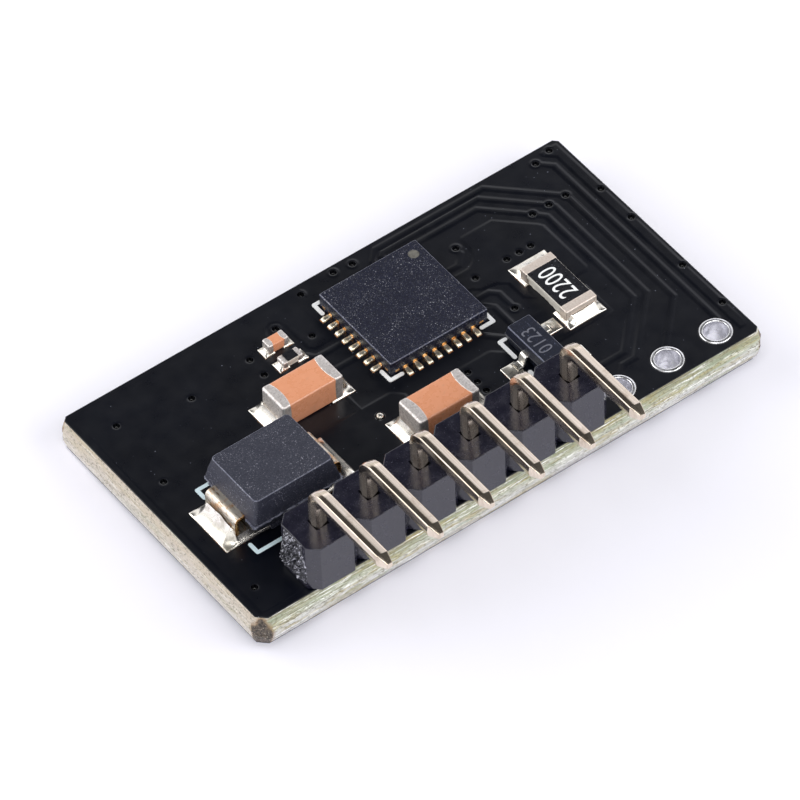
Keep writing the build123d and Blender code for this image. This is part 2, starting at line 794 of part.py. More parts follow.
def make_chips():
    """Three capacitors and two resistors, each with its solder."""
    large = (large_band_middle, large_band_edge)
    small = (small_band_middle, small_band_edge)
    large_edges = (chip_edge_radius, ceramic_edge_radius)
    small_edges = (chip_edge_radius / 2, ceramic_edge_radius / 2)
    size = large_capacitor_size
    for name, place, shift in (
        ("left_capacitor", left_capacitor_place, left_capacitor_pad_shift),
        ("right_capacitor", right_capacitor_place, right_capacitor_pad_shift),
    ):
        body = make_capacitor(name, place, size, large, large_edges)
        make_chip_solder(name, body, place, size, large_pads, large_climb, shift)

    size = small_capacitor_size
    place = small_capacitor_place
    body = make_capacitor("small_capacitor", place, size, small, small_edges)
    make_chip_solder("small_capacitor", body, place, size, small_pads, small_climb)

    size = small_resistor_size
    place = small_resistor_place
    body = make_resistor("small_resistor", place, size, small_band_middle, ("left", "right"))
    make_chip_solder("small_resistor", body, place, size, small_pads, small_climb)

    size = sense_resistor_size
    place = sense_place
    body = make_resistor("sense_resistor", place, size, sense_band, ("front", "back"), 90)
    make_chip_solder("sense_resistor", body, place, size, sense_pads, sense_climb, sense_pad_shift, 90)


# The diode and the transistor.

def bent_lead(points, thickness, width):
    """A flat lead of one thickness that follows points in side view, along +X."""
    return extrude(Rot(90, 0, 0) * strip(points, thickness), amount=width / 2, both=True)


def strap_points():
    """The middle line of the diode's right strap: out, down, and folded back under."""
    out = strap_span / 2 - strap_thickness / 2
    waist = board_thickness + diode_waist_height
    foot = seat + strap_thickness / 2
    root = diode_waist_size[0] / 2 - strap_root
    return [(root, waist), (out, waist), (out, foot), (strap_span / 2 - strap_fold, foot)]


def make_diode():
    """A moulded diode on two folded straps."""
    top = board_thickness + diode_height
    waist = board_thickness + diode_waist_height
    foot = seat + strap_thickness + 2 * strap_clearance
    upper = frustum(diode_waist_size, diode_top_size, waist, top)
    upper = fillet(upper.edges().group_by(Axis.Z)[-1], diode_edge_radius)
    lower = frustum(diode_foot_size, diode_waist_size, foot, waist)
    keel_x = diode_keel_size[0] / 2
    keel_y = diode_keel_size[1] / 2
    keel = block(-keel_x, keel_x, -keel_y, keel_y, board_thickness + diode_keel_gap, foot)
    body = upper + lower + keel
    strap = bent_lead(strap_points(), strap_thickness, strap_width)
    left_strap = Rot(0, 0, 180) * strap
    parts["surge_diode_package"] = at(diode_place, body - strap - left_strap)
    parts["surge_diode_lead_left"] = at(diode_place, left_strap)
    parts["surge_diode_lead_right"] = at(diode_place, strap)

    wedge = hollow_wedge(strap_span / 2, strap_span / 2 + strap_climb, strap_climb, strap_width)
    lands = pad_pair(diode_pads, diode_place)
    pieces = []
    for turn, land, lead in ((180, lands[0], left_strap), (0, lands[1], strap)):
        coat = prism(land, copper_top, copper_top + tin_coat)
        solder = coat + at(diode_place, Rot(0, 0, turn) * wedge)
        pieces.append(solder - at(diode_place, lead) - at(diode_place, keel))
    parts["surge_diode_solder"] = group(pieces)


def gull_points():
    """The middle line of a gull-wing lead, drawn along +X from inside the package."""
    out = gull_span / 2
    foot = seat + gull_thickness / 2
    shoulder = board_thickness + transistor_waist_height
    knee = out - gull_foot
    half_width = transistor_size[0] / 2
    return [
        (half_width - gull_root, shoulder), (knee - gull_slope, shoulder),
        (knee, foot), (out - gull_thickness / 2, foot),
    ]


def make_transistor():
    """A small moulded transistor on three gull-wing leads."""
    waist = board_thickness + transistor_waist_height
    top = board_thickness + transistor_height
    foot = board_thickness + transistor_gap
    narrow = (transistor_size[0] - 2 * transistor_draft, transistor_size[1] - 2 * transistor_draft)
    body = frustum(transistor_size, narrow, waist, top) + frustum(narrow, transistor_size, foot, waist)
    right = bent_lead(gull_points(), gull_thickness, gull_width)
    places = {
        "left": Rot(0, 0, 180),
        "right_back": Pos(0, gull_spread / 2),
        "right_front": Pos(0, -gull_spread / 2),
    }
    package = body
    pieces = []
    foot_end = gull_span / 2
    pad_middle = (gull_pad_span - gull_pad_length) / 2
    bead_start = max(foot_end - gull_foot - gull_bead, pad_middle - gull_pad_length / 2)
    bead = block(
        bead_start, foot_end + gull_bead, -gull_width / 2 - gull_bead, gull_width / 2 + gull_bead,
        copper_top, seat + gull_climb,
    )
    for (side, move), land in zip(places.items(), transistor_pads()):
        lead = at(transistor_place, move * right)
        package -= move * right
        parts[f"transistor_lead_{side}"] = lead
        coat = prism(land, copper_top, copper_top + tin_coat)
        pieces.append(coat + at(transistor_place, move * bead) - lead)
    parts["transistor_package"] = at(transistor_place, package)
    parts["transistor_solder"] = group(pieces)


make_laminate()
make_layers()
make_barrel_plating()
make_legend()
make_header()
make_controller()
make_chips()
make_diode()
make_transistor()

os.makedirs("parts", exist_ok=True)
for name, shape in parts.items():
    export_step(shape, f"parts/{name}.step")
print(len(parts), "parts written")
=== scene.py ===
import math

import bpy
import numpy as np
from mathutils import Matrix, Vector, noise
from mathutils.geometry import delaunay_2d_cdt


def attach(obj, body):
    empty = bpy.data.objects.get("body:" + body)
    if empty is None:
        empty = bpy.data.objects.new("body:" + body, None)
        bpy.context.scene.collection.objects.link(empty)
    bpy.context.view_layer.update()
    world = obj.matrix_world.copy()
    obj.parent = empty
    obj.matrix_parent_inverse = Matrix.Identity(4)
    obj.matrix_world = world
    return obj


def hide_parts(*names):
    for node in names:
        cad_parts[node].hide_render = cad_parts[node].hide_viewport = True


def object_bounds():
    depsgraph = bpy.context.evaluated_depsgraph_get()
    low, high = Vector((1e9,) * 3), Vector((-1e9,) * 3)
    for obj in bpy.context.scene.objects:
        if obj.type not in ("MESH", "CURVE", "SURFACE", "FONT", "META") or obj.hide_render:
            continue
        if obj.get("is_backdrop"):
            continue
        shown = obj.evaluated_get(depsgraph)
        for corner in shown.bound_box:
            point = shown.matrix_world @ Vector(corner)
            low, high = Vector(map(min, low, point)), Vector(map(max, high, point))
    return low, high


# A small black power module seen from its front left. Every size below is in millimetres, in the
# part's own frame, and turned to metres where a mesh is made.
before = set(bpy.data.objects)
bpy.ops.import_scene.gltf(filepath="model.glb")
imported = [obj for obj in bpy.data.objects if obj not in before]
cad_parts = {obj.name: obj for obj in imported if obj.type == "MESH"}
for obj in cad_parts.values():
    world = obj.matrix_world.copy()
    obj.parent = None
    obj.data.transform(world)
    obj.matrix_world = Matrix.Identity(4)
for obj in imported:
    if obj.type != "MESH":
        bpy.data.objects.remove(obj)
cad_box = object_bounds()
MM = 0.001

# Places and sizes that the solids have too.
BOARD = (25.6, 13.86)
BOARD_TOP = 1.6
LAMINATE = (0.04, 1.56)
WEB = (0.55, 1.05)
SCORE_DEPTH = 0.15
FRONT_CUT, BACK_CUT, RIGHT_CUT = 0.38, 0.2, 0.18
COPPER_TOP = 1.595
RIDGE_TOP = 1.62
RING_TOP = 1.635
SEAT = 1.625
HOLE_ROW_Y = -5.897
HOLE_X = [-9.035 + 2.54 * i for i in range(9)]
PIN_X = HOLE_X[:6]
CONTROLLER_PLACE = (1.72, 2.89)
CONTROLLER_HALF, CONTROLLER_HEIGHT = 2.5, 0.72
DOT_PLACE = (1.95, 1.87)
DIODE_PLACE, TRANSISTOR_PLACE = (-8.38, -1.81), (4.70, -2.44)
LEG_SPACING = 0.95
LEFT_CAP, RIGHT_CAP, SMALL_CAP = (-4.48, 1.47), (-0.53, -2.60), (-3.55, 4.68)
SMALL_RESISTOR, SENSE_RESISTOR = (-3.54, 3.66), (7.50, -0.15)
# Length, width and height of the chip parts.
LARGE_CHIP, SENSE_CHIP = (3.06, 1.52, 1.3), (3.15, 1.55, 0.585)
SMALL_CHIP, THIN_CHIP = (1.0, 0.5, 0.5), (1.0, 0.5, 0.33)
PIN_HALF, PIN_BEND, PIN_ARM_HEIGHT = 0.32, 0.6, 5.93
FILLED_VIA = (-2.44, -1.06)
PITCH = 2.54
BORE, BARREL, RING = 0.53, 0.59, 0.72


# ---------------------------------------------------------------- materials

# Each kind of node: its type, its settings, the output that is used and the sockets that values go to.
NOISE = ("ShaderNodeTexNoise", {}, 0, ("Vector", "Scale", "Detail", "Roughness"))
CELLS = ("ShaderNodeTexVoronoi", {}, "Distance", ("Vector", "Scale"))
RANGE = ("ShaderNodeMapRange", {}, 0, (0, 1, 2, 3, 4))
MIX = ("ShaderNodeMix", {"data_type": "RGBA"}, 2, (0, 6, 7))
STRETCH = ("ShaderNodeMapping", {}, 0, ("Vector", "Scale", "Location"))
SPLIT = ("ShaderNodeSeparateXYZ", {}, "X", (0,))
PLUS, MINUS, TIMES, LARGER = [("ShaderNodeMath", {"operation": word}, 0, (0, 1))
                              for word in ("ADD", "SUBTRACT", "MULTIPLY", "MAXIMUM")]
AWAY_FROM, ALONG = [("ShaderNodeVectorMath", {"operation": word}, 0, (0, 1))
                    for word in ("SUBTRACT", "MULTIPLY")]
LENGTH = ("ShaderNodeVectorMath", {"operation": "LENGTH"}, "Value", (0,))
PLACE = ("ShaderNodeTexCoord", {}, "Object", ())
RAY = ("ShaderNodeLightPath", {}, "Is Camera Ray", ())
BUMP = ("ShaderNodeBump", {}, 0, ("Height", "Distance", "Strength"))
RED = ("ShaderNodeSeparateColor", {}, 0, (0,))


def srgb(code):
    """A hex colour as written in a paint chart, turned to linear."""
    parts = [int(code[i:i + 2], 16) / 255 for i in (1, 3, 5)]
    return tuple(c / 12.92 if c <= 0.04045 else ((c + 0.055) / 1.055) ** 2.4 for c in parts) + (1.0,)


def add(tree, kind, *values, out=None):
    """Adds one node. Each value is a link, a hex colour or a number for the next socket. Gives one output."""
    name, settings, usual, sockets = kind
    made = tree.nodes.new(name)
    for key, value in settings.items():
        setattr(made, key, value)
    for key, value in zip(sockets, values):
        if isinstance(value, bpy.types.NodeSocket):
            tree.links.new(value, made.inputs[key])
        else:
            made.inputs[key].default_value = srgb(value) if isinstance(value, str) else value
    return made.outputs[usual if out is None else out]


class Finish:
    """A material with its shader and a coordinate in millimetres, ready for its own nodes."""

    def __init__(self, name, metallic=0.0, ior=1.5):
        self.material = bpy.data.materials.new(name)
        self.material.use_nodes = True
        self.tree = self.material.node_tree
        self.shader = self.tree.nodes["Principled BSDF"]
        self.shader.inputs["Metallic"].default_value = metallic
        if not metallic:
            self.shader.inputs["IOR"].default_value = ior
        self.mm = self.add(STRETCH, self.add(PLACE), (1 / MM, 1 / MM, 1 / MM))

    def add(self, kind, *values, out=None):
        return add(self.tree, kind, *values, out=out)

    def done(self, colour, roughness, height, depth_mm, strength):
        """Puts a colour, a roughness and a bump of a real depth on the shader."""
        bump = self.add(BUMP, height, depth_mm * MM, strength)
        for socket, source in (("Base Color", colour), ("Roughness", roughness), ("Normal", bump)):
            self.tree.links.new(source, self.shader.inputs[socket])
        return self.material


def surface(name, colours, grain, gloss, depth, relief=None, spots=None, strength=0.5, left=None, **shader):
    """A finish whose grain blends two colours, with spots of a third, and one more at the board's left end.
    grain, relief and spots are noises: the scale per millimetre, or along x, y and z, the detail and the
    roughness, then which span of the noise counts and what it becomes. gloss is such a span of the grain
    or a noise of its own. depth is the relief's, in millimetres."""
    made = Finish(name, **shader)
    sources = []
    gloss = gloss if len(gloss) > 4 else grain[:3] + gloss
    for scale, *noise_shape in (grain, gloss, relief or grain, spots or grain):
        stretched = isinstance(scale, tuple)
        where = made.add(STRETCH, made.mm, scale) if stretched else made.mm
        source = made.add(NOISE, where, 1.0 if stretched else scale, *noise_shape[:2])
        sources.append(made.add(RANGE, source, *noise_shape[2:]) if noise_shape[2:] else source)
    colour = made.add(MIX, sources[0], *colours[:2])
    if spots:
        colour = made.add(MIX, sources[3], colour, colours[2])
    if left:
        colour = made.add(MIX, made.add(RANGE, made.add(SPLIT, made.mm), -6.0, -5.0, 1.0, 0.0), colour, left)
    return made.done(colour, sources[1], sources[2], depth, strength)


def tin(name, base, spot, roughness, per_mm=3.0, depth=0.01):
    """Tin that froze from a melt: bright, softly lumpy, with dull flux marks."""
    dull = min(roughness + 0.25, 0.7)
    return surface(name, (base, spot), (per_mm, 3, 0.6, 0.5, 0.72), (0.5, 0.72, roughness, dull), depth,
                   (per_mm * 1.4, 3, 0.5), strength=0.7, metallic=1.0)


def dipped_terminal(name, base, spot, satin):
    """Tin plate over fired silver paste: grey satin metal, grainy and mottled."""
    return surface(name, (base, spot), (9.0, 4, 0.7, 0.35, 0.68), (0.35, 0.68, satin, satin + 0.14),
                   0.004, metallic=1.0)


def ink(name, first, second, left=None):
    """Legend ink, printed, or a lasered mark: chalky, with a thin ragged coat."""
    return surface(name, (first, second), (8, 4, 0.5), (0, 1, 0.4, 0.6), 0.006, left=left)


def moulding(name, dark, light, fleck, per_mm, share, roughness):
    """Epoxy moulding compound: matt dark resin with silica flecks of several sizes that catch the light.
    share is how many flecks show."""
    resin = Finish(name, ior=1.47)
    cloud = resin.add(RANGE, resin.add(NOISE, resin.mm, 16, 3, 0.8), 0.3, 0.7)
    colour = resin.add(MIX, cloud, dark, light)
    patch = resin.add(RANGE, resin.add(NOISE, resin.mm, 1.1, 2), 0.35, 0.6, 0.3, 1.0)
    for size, some, bright in ((1.0, share, 1.0), (1.7, share * 1.6, 0.6), (0.62, share * 0.35, 0.9)):
        cells = resin.add(CELLS, resin.mm, per_mm * size)
        near = resin.add(RANGE, cells, 0.08, 0.30, 1.0, 0.0)
        pick = resin.add(RED, cells.node.outputs["Color"])
        chosen = resin.add(RANGE, pick, 1 - some, 1.0, 0.0, bright)
        shown = resin.add(TIMES, resin.add(TIMES, near, chosen), patch)
        colour = resin.add(MIX, shown, colour, fleck)
    matt = resin.add(RANGE, cloud, 0, 1, roughness - 0.06, roughness + 0.08)
    return resin.done(colour, matt, cloud, 0.006, 0.6)


# Where the left edge's colour gives way to the front's, and how thin the white fibres are.
LEFT_EDGE = (-12.7, -12.3)
WHITE_FIBRE = 15.0


def glass_epoxy():
    """FR4 glass epoxy, scored and snapped: cream green layers of weave with torn white fibre."""
    blank = Finish("glass_epoxy_snapped_edge", ior=1.52)
    mm = blank.mm
    x_place = blank.add(SPLIT, mm)
    z_place = x_place.node.outputs["Z"]
    height = blank.add(RANGE, z_place, 0.0, 1.6)
    # Layers wander by a tenth of the board's thickness over a few millimetres.
    wander = blank.add(NOISE, blank.add(STRETCH, mm, (0.5, 0.5, 1.2)), 1.0, 3, 0.6)
    level = blank.add(PLUS, height, blank.add(RANGE, wander, 0.3, 0.7, -0.10, 0.10))
    front = "#b2b0b2"
    for low, high, colour in (
        (0.06, 0.20, "#cdccca"), (0.34, 0.50, "#c3c4ba"), (0.50, 0.66, "#b7bba4"),
        (0.66, 0.84, "#979a80"), (0.86, 0.97, "#8f8a70"), (0.975, 0.995, "#5f5843"),
    ):
        front = blank.add(MIX, blank.add(RANGE, height if low > 0.9 else level, low, high), front, colour)
    # The left edge is paler and browner than the front one, and shows less of the weave.
    brown = blank.add(MIX, height, "#d9d4cf", "#c3b6a4")
    tinted = blank.add(MIX, blank.add(RANGE, x_place, *LEFT_EDGE), brown, front)
    woven = blank.add(RANGE, x_place, *LEFT_EDGE, 0.35, 1.0)
    # Bundles of glass run along the edge. Each row: how long and how thin its marks are, in parts of a
    # millimetre, where the mark starts, how strong it is and its colour.
    for along, thin, start, strength, colour in (
        (0.4, 4.0, 0.50, 0.55, "#ab9a55"), (0.3, 3.0, 0.53, 0.50, "#93a489"), (0.7, 9.0, 0.56, 0.7, "#f2f2ec"),
        (0.5, WHITE_FIBRE, 0.55, 1.0, "#fcfcf8"), (0.45, 17.0, 0.56, 0.85, "#64614a"),
        (7.0, 12.0, 0.53, 0.65, "#6d674f"),
    ):
        run = blank.add(STRETCH, mm, (along, along, thin), (along, thin, start))
        bundle = blank.add(NOISE, run, 1.0, 4, 0.65)
        mark = blank.add(RANGE, bundle, start, start + 0.09, 0.0, strength)
        if along < 1:
            mark = blank.add(TIMES, mark, woven)
        if thin == WHITE_FIBRE:
            fibre = bundle
        tinted = blank.add(MIX, mark, tinted, colour)
    # Heat charred the corner where a tab was cut, and browned two more. Each row: the place, and how far
    # the burn reaches at the bottom and at the top.
    crumb = blank.add(RANGE, blank.add(NOISE, mm, 9.0, 3, 0.7), 0.35, 0.65)
    ash = blank.add(RANGE, blank.add(NOISE, mm, 14.0, 2), 0.62, 0.70, 0.0, 0.8)
    char = blank.add(MIX, ash, blank.add(MIX, crumb, "#1b1613", "#6a5e52"), "#c9bfae")
    ragged = blank.add(RANGE, blank.add(NOISE, mm, 3.5, 3), 0.3, 0.7, -0.10, 0.10)
    high = blank.add(RANGE, z_place, 0.75, 1.58)
    for x, y, low, top in ((-12.82, -6.95, 0.52, 0.22), (12.97, -7.0, 0.24, 0.16), (-12.95, 7.0, 0.10, 0.22)):
        flat = blank.add(ALONG, blank.add(AWAY_FROM, mm, (x, y, 0.0)), (1.0, 1.0, 0.0))
        away = blank.add(PLUS, blank.add(LENGTH, flat), ragged)
        away = blank.add(MINUS, away, blank.add(RANGE, high, 0, 1, low, top))
        tinted = blank.add(MIX, blank.add(RANGE, away, 0.0, 0.14, 0.75, 0.0), tinted, "#84602f")
        tinted = blank.add(MIX, blank.add(RANGE, away, -0.03, 0.03, 1.0, 0.0), tinted, char)
    return blank.done(tinted, blank.add(RANGE, fibre, 0, 1, 0.75, 0.42), fibre, 0.03, 0.8)


LAMINATE_EDGE = glass_epoxy()
# Black liquid solder mask, sprayed and cured: a satin skin with a faint ripple and stray dust.
MASK = surface("satin_black_solder_mask", ("#020309", "#040815", "#7d8190"), (0.35, 3, 0.5),
               (1.3, 3, 0.5, 0.3, 0.7, 0.27, 0.35), 0.0015, (4.0, 2, 0.5),
               (8.0, 1, 0.4, 0.785, 0.81, 0.0, 0.8), ior=1.46)
# The same mask where it pooled thick over a via: wet-looking, and darker than the rest of the mask, which is
# painted shade in the wells.
POOLED_SHADED_MASK = surface("pooled_mask_painted_shade", ("#010104", "#040509"), (5, 2, 0.5), (0, 1, 0.06, 0.12), 0.004)
TINNED = tin("tinned_copper_ring", "#f2f2f5", "#cfcfd5", 0.22, 2.5, 0.006)
SOLDER = tin("reflowed_tin_solder", "#f4efe6", "#c4bdb0", 0.22, 1.7, 0.008)
TONGUE = tin("reflowed_tin_tongue", "#fdf4de", "#e2cfa6", 0.31, 6.0, 0.02)
LEAD = tin("tinned_alloy_lead", "#eeebe5", "#c2bdb4", 0.24, 4.0, 0.01)
# Copper foil under the mask.
HIDDEN_COPPER = tin("copper_foil", "#c98b62", "#b37650", 0.35)
# Brass wire, nickel plated and drawn: warm silver with fine lines along the pin.
DRAWN = ((18, 0.35, 0.35), 3, 0.6)
PIN = surface("drawn_nickel_plated_pin", ("#dccfc0", "#cabcab", "#a89684"), (*DRAWN, 0.35, 0.65),
              (0, 1, 0.13, 0.24), 0.0012, DRAWN, (1.3, 4, 0.6, 0.55, 0.72, 0.0, 0.7), 0.6, metallic=1.0)
# Black glass-filled nylon, moulded: glossy with a little bloom and tiny pits.
NYLON = surface("moulded_black_nylon", ("#13131f", "#212031", "#5d5e6c"), (2.2, 4, 0.6), (0.3, 0.7, 0.12, 0.32),
                0.004, (9, 3, 0.5), (14, 1, 0.5, 0.68, 0.74, 0.0, 0.6), ior=1.57)
# The same nylon where it was snapped: stress-whitened ridges over a rough grey break.
RIP = (8.0, 4, 0.7)
TORN = surface("snapped_black_nylon", ("#08090d", "#454651", "#cfcfdb"), (*RIP, 0.35, 0.65), (0, 1, 0.55, 0.2),
               0.06, RIP, (*RIP, 0.54, 0.61, 0.0, 0.9), 0.9, ior=1.53)
CONTROLLER = moulding("fine_black_moulding", "#02030e", "#0c1230", "#dcdde8", 15.0, 0.5, 0.36)
# A lighter, white-flecked copy of the controller's moulding for its rounded top edge: a painted highlight.
CONTROLLER_EDGE_HIGHLIGHT = moulding("black_moulding_edge_painted_highlight", "#191b28", "#6c7088", "#ffffff", 11.0, 1.0, 0.3)
DIODE = moulding("charcoal_moulding", "#1d1f2c", "#363846", "#b9bac8", 15.0, 0.8, 0.5)
# A lighter copy of the diode's moulding for its rounded top edge and its flash: a painted highlight.
DIODE_EDGE_HIGHLIGHT = moulding("charcoal_edge_painted_highlight", "#3a3c4a", "#7d8092", "#f2f4fc", 13.0, 1.0, 0.3)
TRANSISTOR = moulding("blue_black_moulding", "#090c18", "#151b30", "#6d7590", 10.0, 0.35, 0.36)
# A lighter copy of the transistor's moulding for its rounded top edge: a painted highlight.
TRANSISTOR_EDGE_HIGHLIGHT = moulding("blue_black_edge_painted_highlight", "#3a3e50", "#7e849a", "#dfe4f2", 11.0, 0.8, 0.3)
# Fired barium titanate: even terracotta orange with a silky face and grey smudges.
CERAMIC = surface("fired_orange_ceramic", ("#e0946a", "#eca57f", "#a98470"), (2.5, 4, 0.6), (0, 1, 0.22, 0.34),
                  0.002, (16, 3, 0.5), (2.4, 3, 0.5, 0.62, 0.78, 0.0, 0.5), ior=1.85)
TERMINAL = dipped_terminal("plated_silver_terminal", "#fffaf7", "#cbc4c1", 0.5)
FILM_TERMINAL = dipped_terminal("plated_film_terminal", "#fbf0e7", "#e9dcd2", 0.55)
# Half-etched copper leadframe, sawn through: orange gold with a light smear of tin.
LEADFRAME = surface("sawn_copper_leadframe", ("#cc9152", "#e3c193"), (5.0, 3, 0.5, 0.45, 0.65, 0.0, 0.7),
                    (0.45, 0.65, 0.24, 0.352), 0.006, (14, 3, 0.6), metallic=1.0)
# Tinned copper strap, sheared: creamy tin that thins to coppery patches and scores.
STRAP = surface("sheared_tinned_strap", ("#e4dccf", "#cfa57c", "#8f6a42"), (2.6, 4, 0.65, 0.50, 0.64),
                (0.50, 0.64, 0.42, 0.56), 0.02, (7, 4, 0.6), ((9, 2, 9), 3, 0.6, 0.54, 0.62, 0.0, 0.75),
                0.7, metallic=1.0)
# Pressed alumina: chalk white with a matt, slightly dirty face.
ALUMINA = surface("pressed_alumina", ("#f1ede4", "#d3cdc2"), (6, 4, 0.5), (0, 1, 0.5, 0.7), 0.004, ior=1.6)
# Black glass overcoat, printed and fired: smooth, slightly wavy, with grey specks.
OVERCOAT = surface("fired_black_overcoat", ("#0a0b12", "#16171f", "#83848e"), (5, 3, 0.5), (0, 1, 0.22, 0.36),
                   0.006, None, (12, 1, 0.5, 0.70, 0.76, 0.0, 0.6), ior=1.52)
TRANSISTOR_MARK = ink("lasered_grey_mark", "#585a66", "#7b7d88")
BLASTED = ink("blasted_grey_dot", "#3b3a36", "#85827a")
WHITE_INK = ink("white_legend_ink", "#ffffff", "#f4f7fa", "#e2f7ff")


# ---------------------------------------------------------------- meshes

def piece(name, points, faces, material, slot, stands_for=(), sharp=32.0):
    """A mesh from points in millimetres, riding on the board."""
    mesh = bpy.data.meshes.new(name)
    mesh.from_pydata([(x * MM, y * MM, z * MM) for x, y, z in points], [], [list(f) for f in faces])
    mesh.validate()
    mesh.shade_smooth()
    mesh.set_sharp_from_angle(angle=math.radians(sharp))
    mesh.materials.append(material)
    made = bpy.data.objects.new(name, mesh)
    bpy.context.scene.collection.objects.link(made)
    even = made.modifiers.new("even_normals", "WEIGHTED_NORMAL")
    even.keep_sharp = True
    even.weight = 90
    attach(made, "root")
    if stands_for:
        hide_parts(*stands_for)
    return made


class Build:
    """Points and faces gathered for one piece."""

    def __init__(self):
        self.points = []
        self.faces = []

    def paint_highlight(self, made, material, where):
        """Gives a second material, a lighter copy that paints a highlight, to the faces whose centre and normal
        pass the test.
        """
        made.data.materials.append(material)
        for face in made.data.polygons:
            face.material_index = int(where(face.center / MM, face.normal))

    def take(self, points, faces, place=(0, 0, 0), turn=0.0):
        """Adds a shape, turned about +Z and moved."""
        base = len(self.points)
        c, s = math.cos(math.radians(turn)), math.sin(math.radians(turn))
        for x, y, z in points:
            self.points.append((place[0] + c * x - s * y, place[1] + s * x + c * y, place[2] + z))
        self.faces.extend([tuple(base + i for i in f) for f in faces])

    def plate(self, rim, holes, z_low, z_high):
        """Adds a flat top and underside inside a rim, and the straight walls of the holes through them."""
        flat, faces = fill([rim] + list(holes))
        self.take([(x, y, z_high) for x, y in flat], faces.tolist())
        self.take([(x, y, z_low) for x, y in flat], faces[:, ::-1].tolist())
        for hole in holes:
            self.take(*stack([[(x, y, z) for x, y in hole[::-1]] for z in (z_low, z_high)], closed=False))

    def done(self, name, material, slot, stands_for=(), sharp=32.0):
        """Makes the piece."""
        return piece(name, self.points, self.faces, material, slot, stands_for, sharp)


def rounded(half_x, half_y, radius, steps=4, along=0):
    """The outline of a rectangle with round corners, anticlockwise, with more points along each side."""
    outline = []
    for turn, (sx, sy) in enumerate(((1, 1), (-1, 1), (-1, -1), (1, -1))):
        for i in range(steps + 1):
            a = math.radians(90 * turn + 90 * i / steps)
            x = sx * (half_x - radius) + radius * math.cos(a)
            y = sy * (half_y - radius) + radius * math.sin(a)
            outline.append((x, y))
    if not along:
        return outline
    dense = []
    for k, (x, y) in enumerate(outline):
        dense.append((x, y))
        if k % (steps + 1) == steps:
            nx, ny = outline[(k + 1) % len(outline)]
            parts = along + 1
            dense += [(x + (nx - x) * t / parts, y + (ny - y) * t / parts) for t in range(1, parts)]
    return dense


def stack(rings, closed=True):
    """A skin over rings of the same number of points, closed at both ends."""
    count = len(rings[0])
    points = [p for ring in rings for p in ring]
    faces = []
    for r in range(len(rings) - 1):
        for i in range(count):
            j = (i + 1) % count
            faces.append((r * count + i, r * count + j, (r + 1) * count + j, (r + 1) * count + i))
    if closed:
        faces.append(tuple(range(count))[::-1])
        faces.append(tuple(range((len(rings) - 1) * count, len(rings) * count)))
    return points, faces


def inset(outline, depth):
    """A closed outline moved inwards by depth, mitred at its corners."""
    moved = []
    count = len(outline)
    for i, (x, y) in enumerate(outline):
        ax, ay = outline[i - 1]
        bx, by = outline[(i + 1) % count]
        d1 = Vector((x - ax, y - ay)).normalized()
        d2 = Vector((bx - x, by - y)).normalized()
        n1, n2 = Vector((-d1.y, d1.x)), Vector((-d2.y, d2.x))
        n = (n1 + n2)
        scale = depth / max(0.35, n.dot(n1)) if n.length > 1e-6 else 0
        moved.append((x + n.x * scale, y + n.y * scale))
    return moved


def inside_of(points, edges):
    """Which flat points lie inside the closed edges, by counting crossings."""
    points = np.asarray(points, float)
    edges = np.asarray(edges, float)
    ax, ay, bx, by = edges[:, 0, 0], edges[:, 0, 1], edges[:, 1, 0], edges[:, 1, 1]
    slope = (bx - ax) / np.where(by == ay, 1e-12, by - ay)
    result = np.zeros(len(points), bool)
    for start in range(0, len(points), 2000):
        px = points[start:start + 2000, 0:1] + 1.7e-6
        py = points[start:start + 2000, 1:2] + 2.3e-6
        crosses = ((ay > py) != (by > py)) & (px < ax + (py - ay) * slope)
        result[start:start + 2000] = crosses.sum(1) % 2 == 1
    return result


def distance_to(points, edges):
    """How far each flat point lies from the nearest edge."""
    points = np.asarray(points, float)
    edges = np.asarray(edges, float)
    a, run = edges[:, 0], edges[:, 1] - edges[:, 0]
    square = np.maximum((run ** 2).sum(1), 1e-12)
    result = np.empty(len(points))
    for start in range(0, len(points), 1000):
        away = points[start:start + 1000, None, :] - a
        t = np.clip((away * run).sum(2) / square, 0, 1)
        result[start:start + 1000] = np.sqrt(((away - t[..., None] * run) ** 2).sum(2).min(1))
    return result


def circle(centre, radius, steps=24):
    """Points round a flat circle."""
    angles = [2 * math.pi * i / steps for i in range(steps)]
    return [(centre[0] + radius * math.cos(a), centre[1] + radius * math.sin(a)) for a in angles]


def ring_edges(outline):
    """The edges of a closed outline."""
    return [(a, b) for a, b in zip(outline, outline[1:] + outline[:1])]


def fill(outlines, lines=()):
    """Triangles inside closed outlines, with more lines drawn into them. Returns points and faces."""
    coords, edges = [], []
    for outline in outlines:
        base = len(coords)
        coords += outline
        edges += [(base + i, base + (i + 1) % len(outline)) for i in range(len(outline))]
    for line in lines:
        base = len(coords)
        coords += line
        edges += [(base + i, base + i + 1) for i in range(len(line) - 1)]
    made = delaunay_2d_cdt([Vector(c) for c in coords], edges, [], 0, 1e-5)
    flat = np.array([tuple(v) for v in made[0]])
    faces = np.array([f for f in made[2] if len(f) == 3])
    rim = [e for outline in outlines for e in ring_edges(outline)]
    keep = inside_of(flat[faces].mean(1), rim)
    faces = faces[keep]
    a, b, c = flat[faces[:, 0]], flat[faces[:, 1]], flat[faces[:, 2]]
    cross = (b[:, 0] - a[:, 0]) * (c[:, 1] - a[:, 1]) - (b[:, 1] - a[:, 1]) * (c[:, 0] - a[:, 0])
    faces[cross < 0] = faces[cross < 0][:, ::-1]
    used = np.unique(faces)
    renumber = np.zeros(len(flat), int)
    renumber[used] = np.arange(len(used))
    return flat[used], renumber[faces]


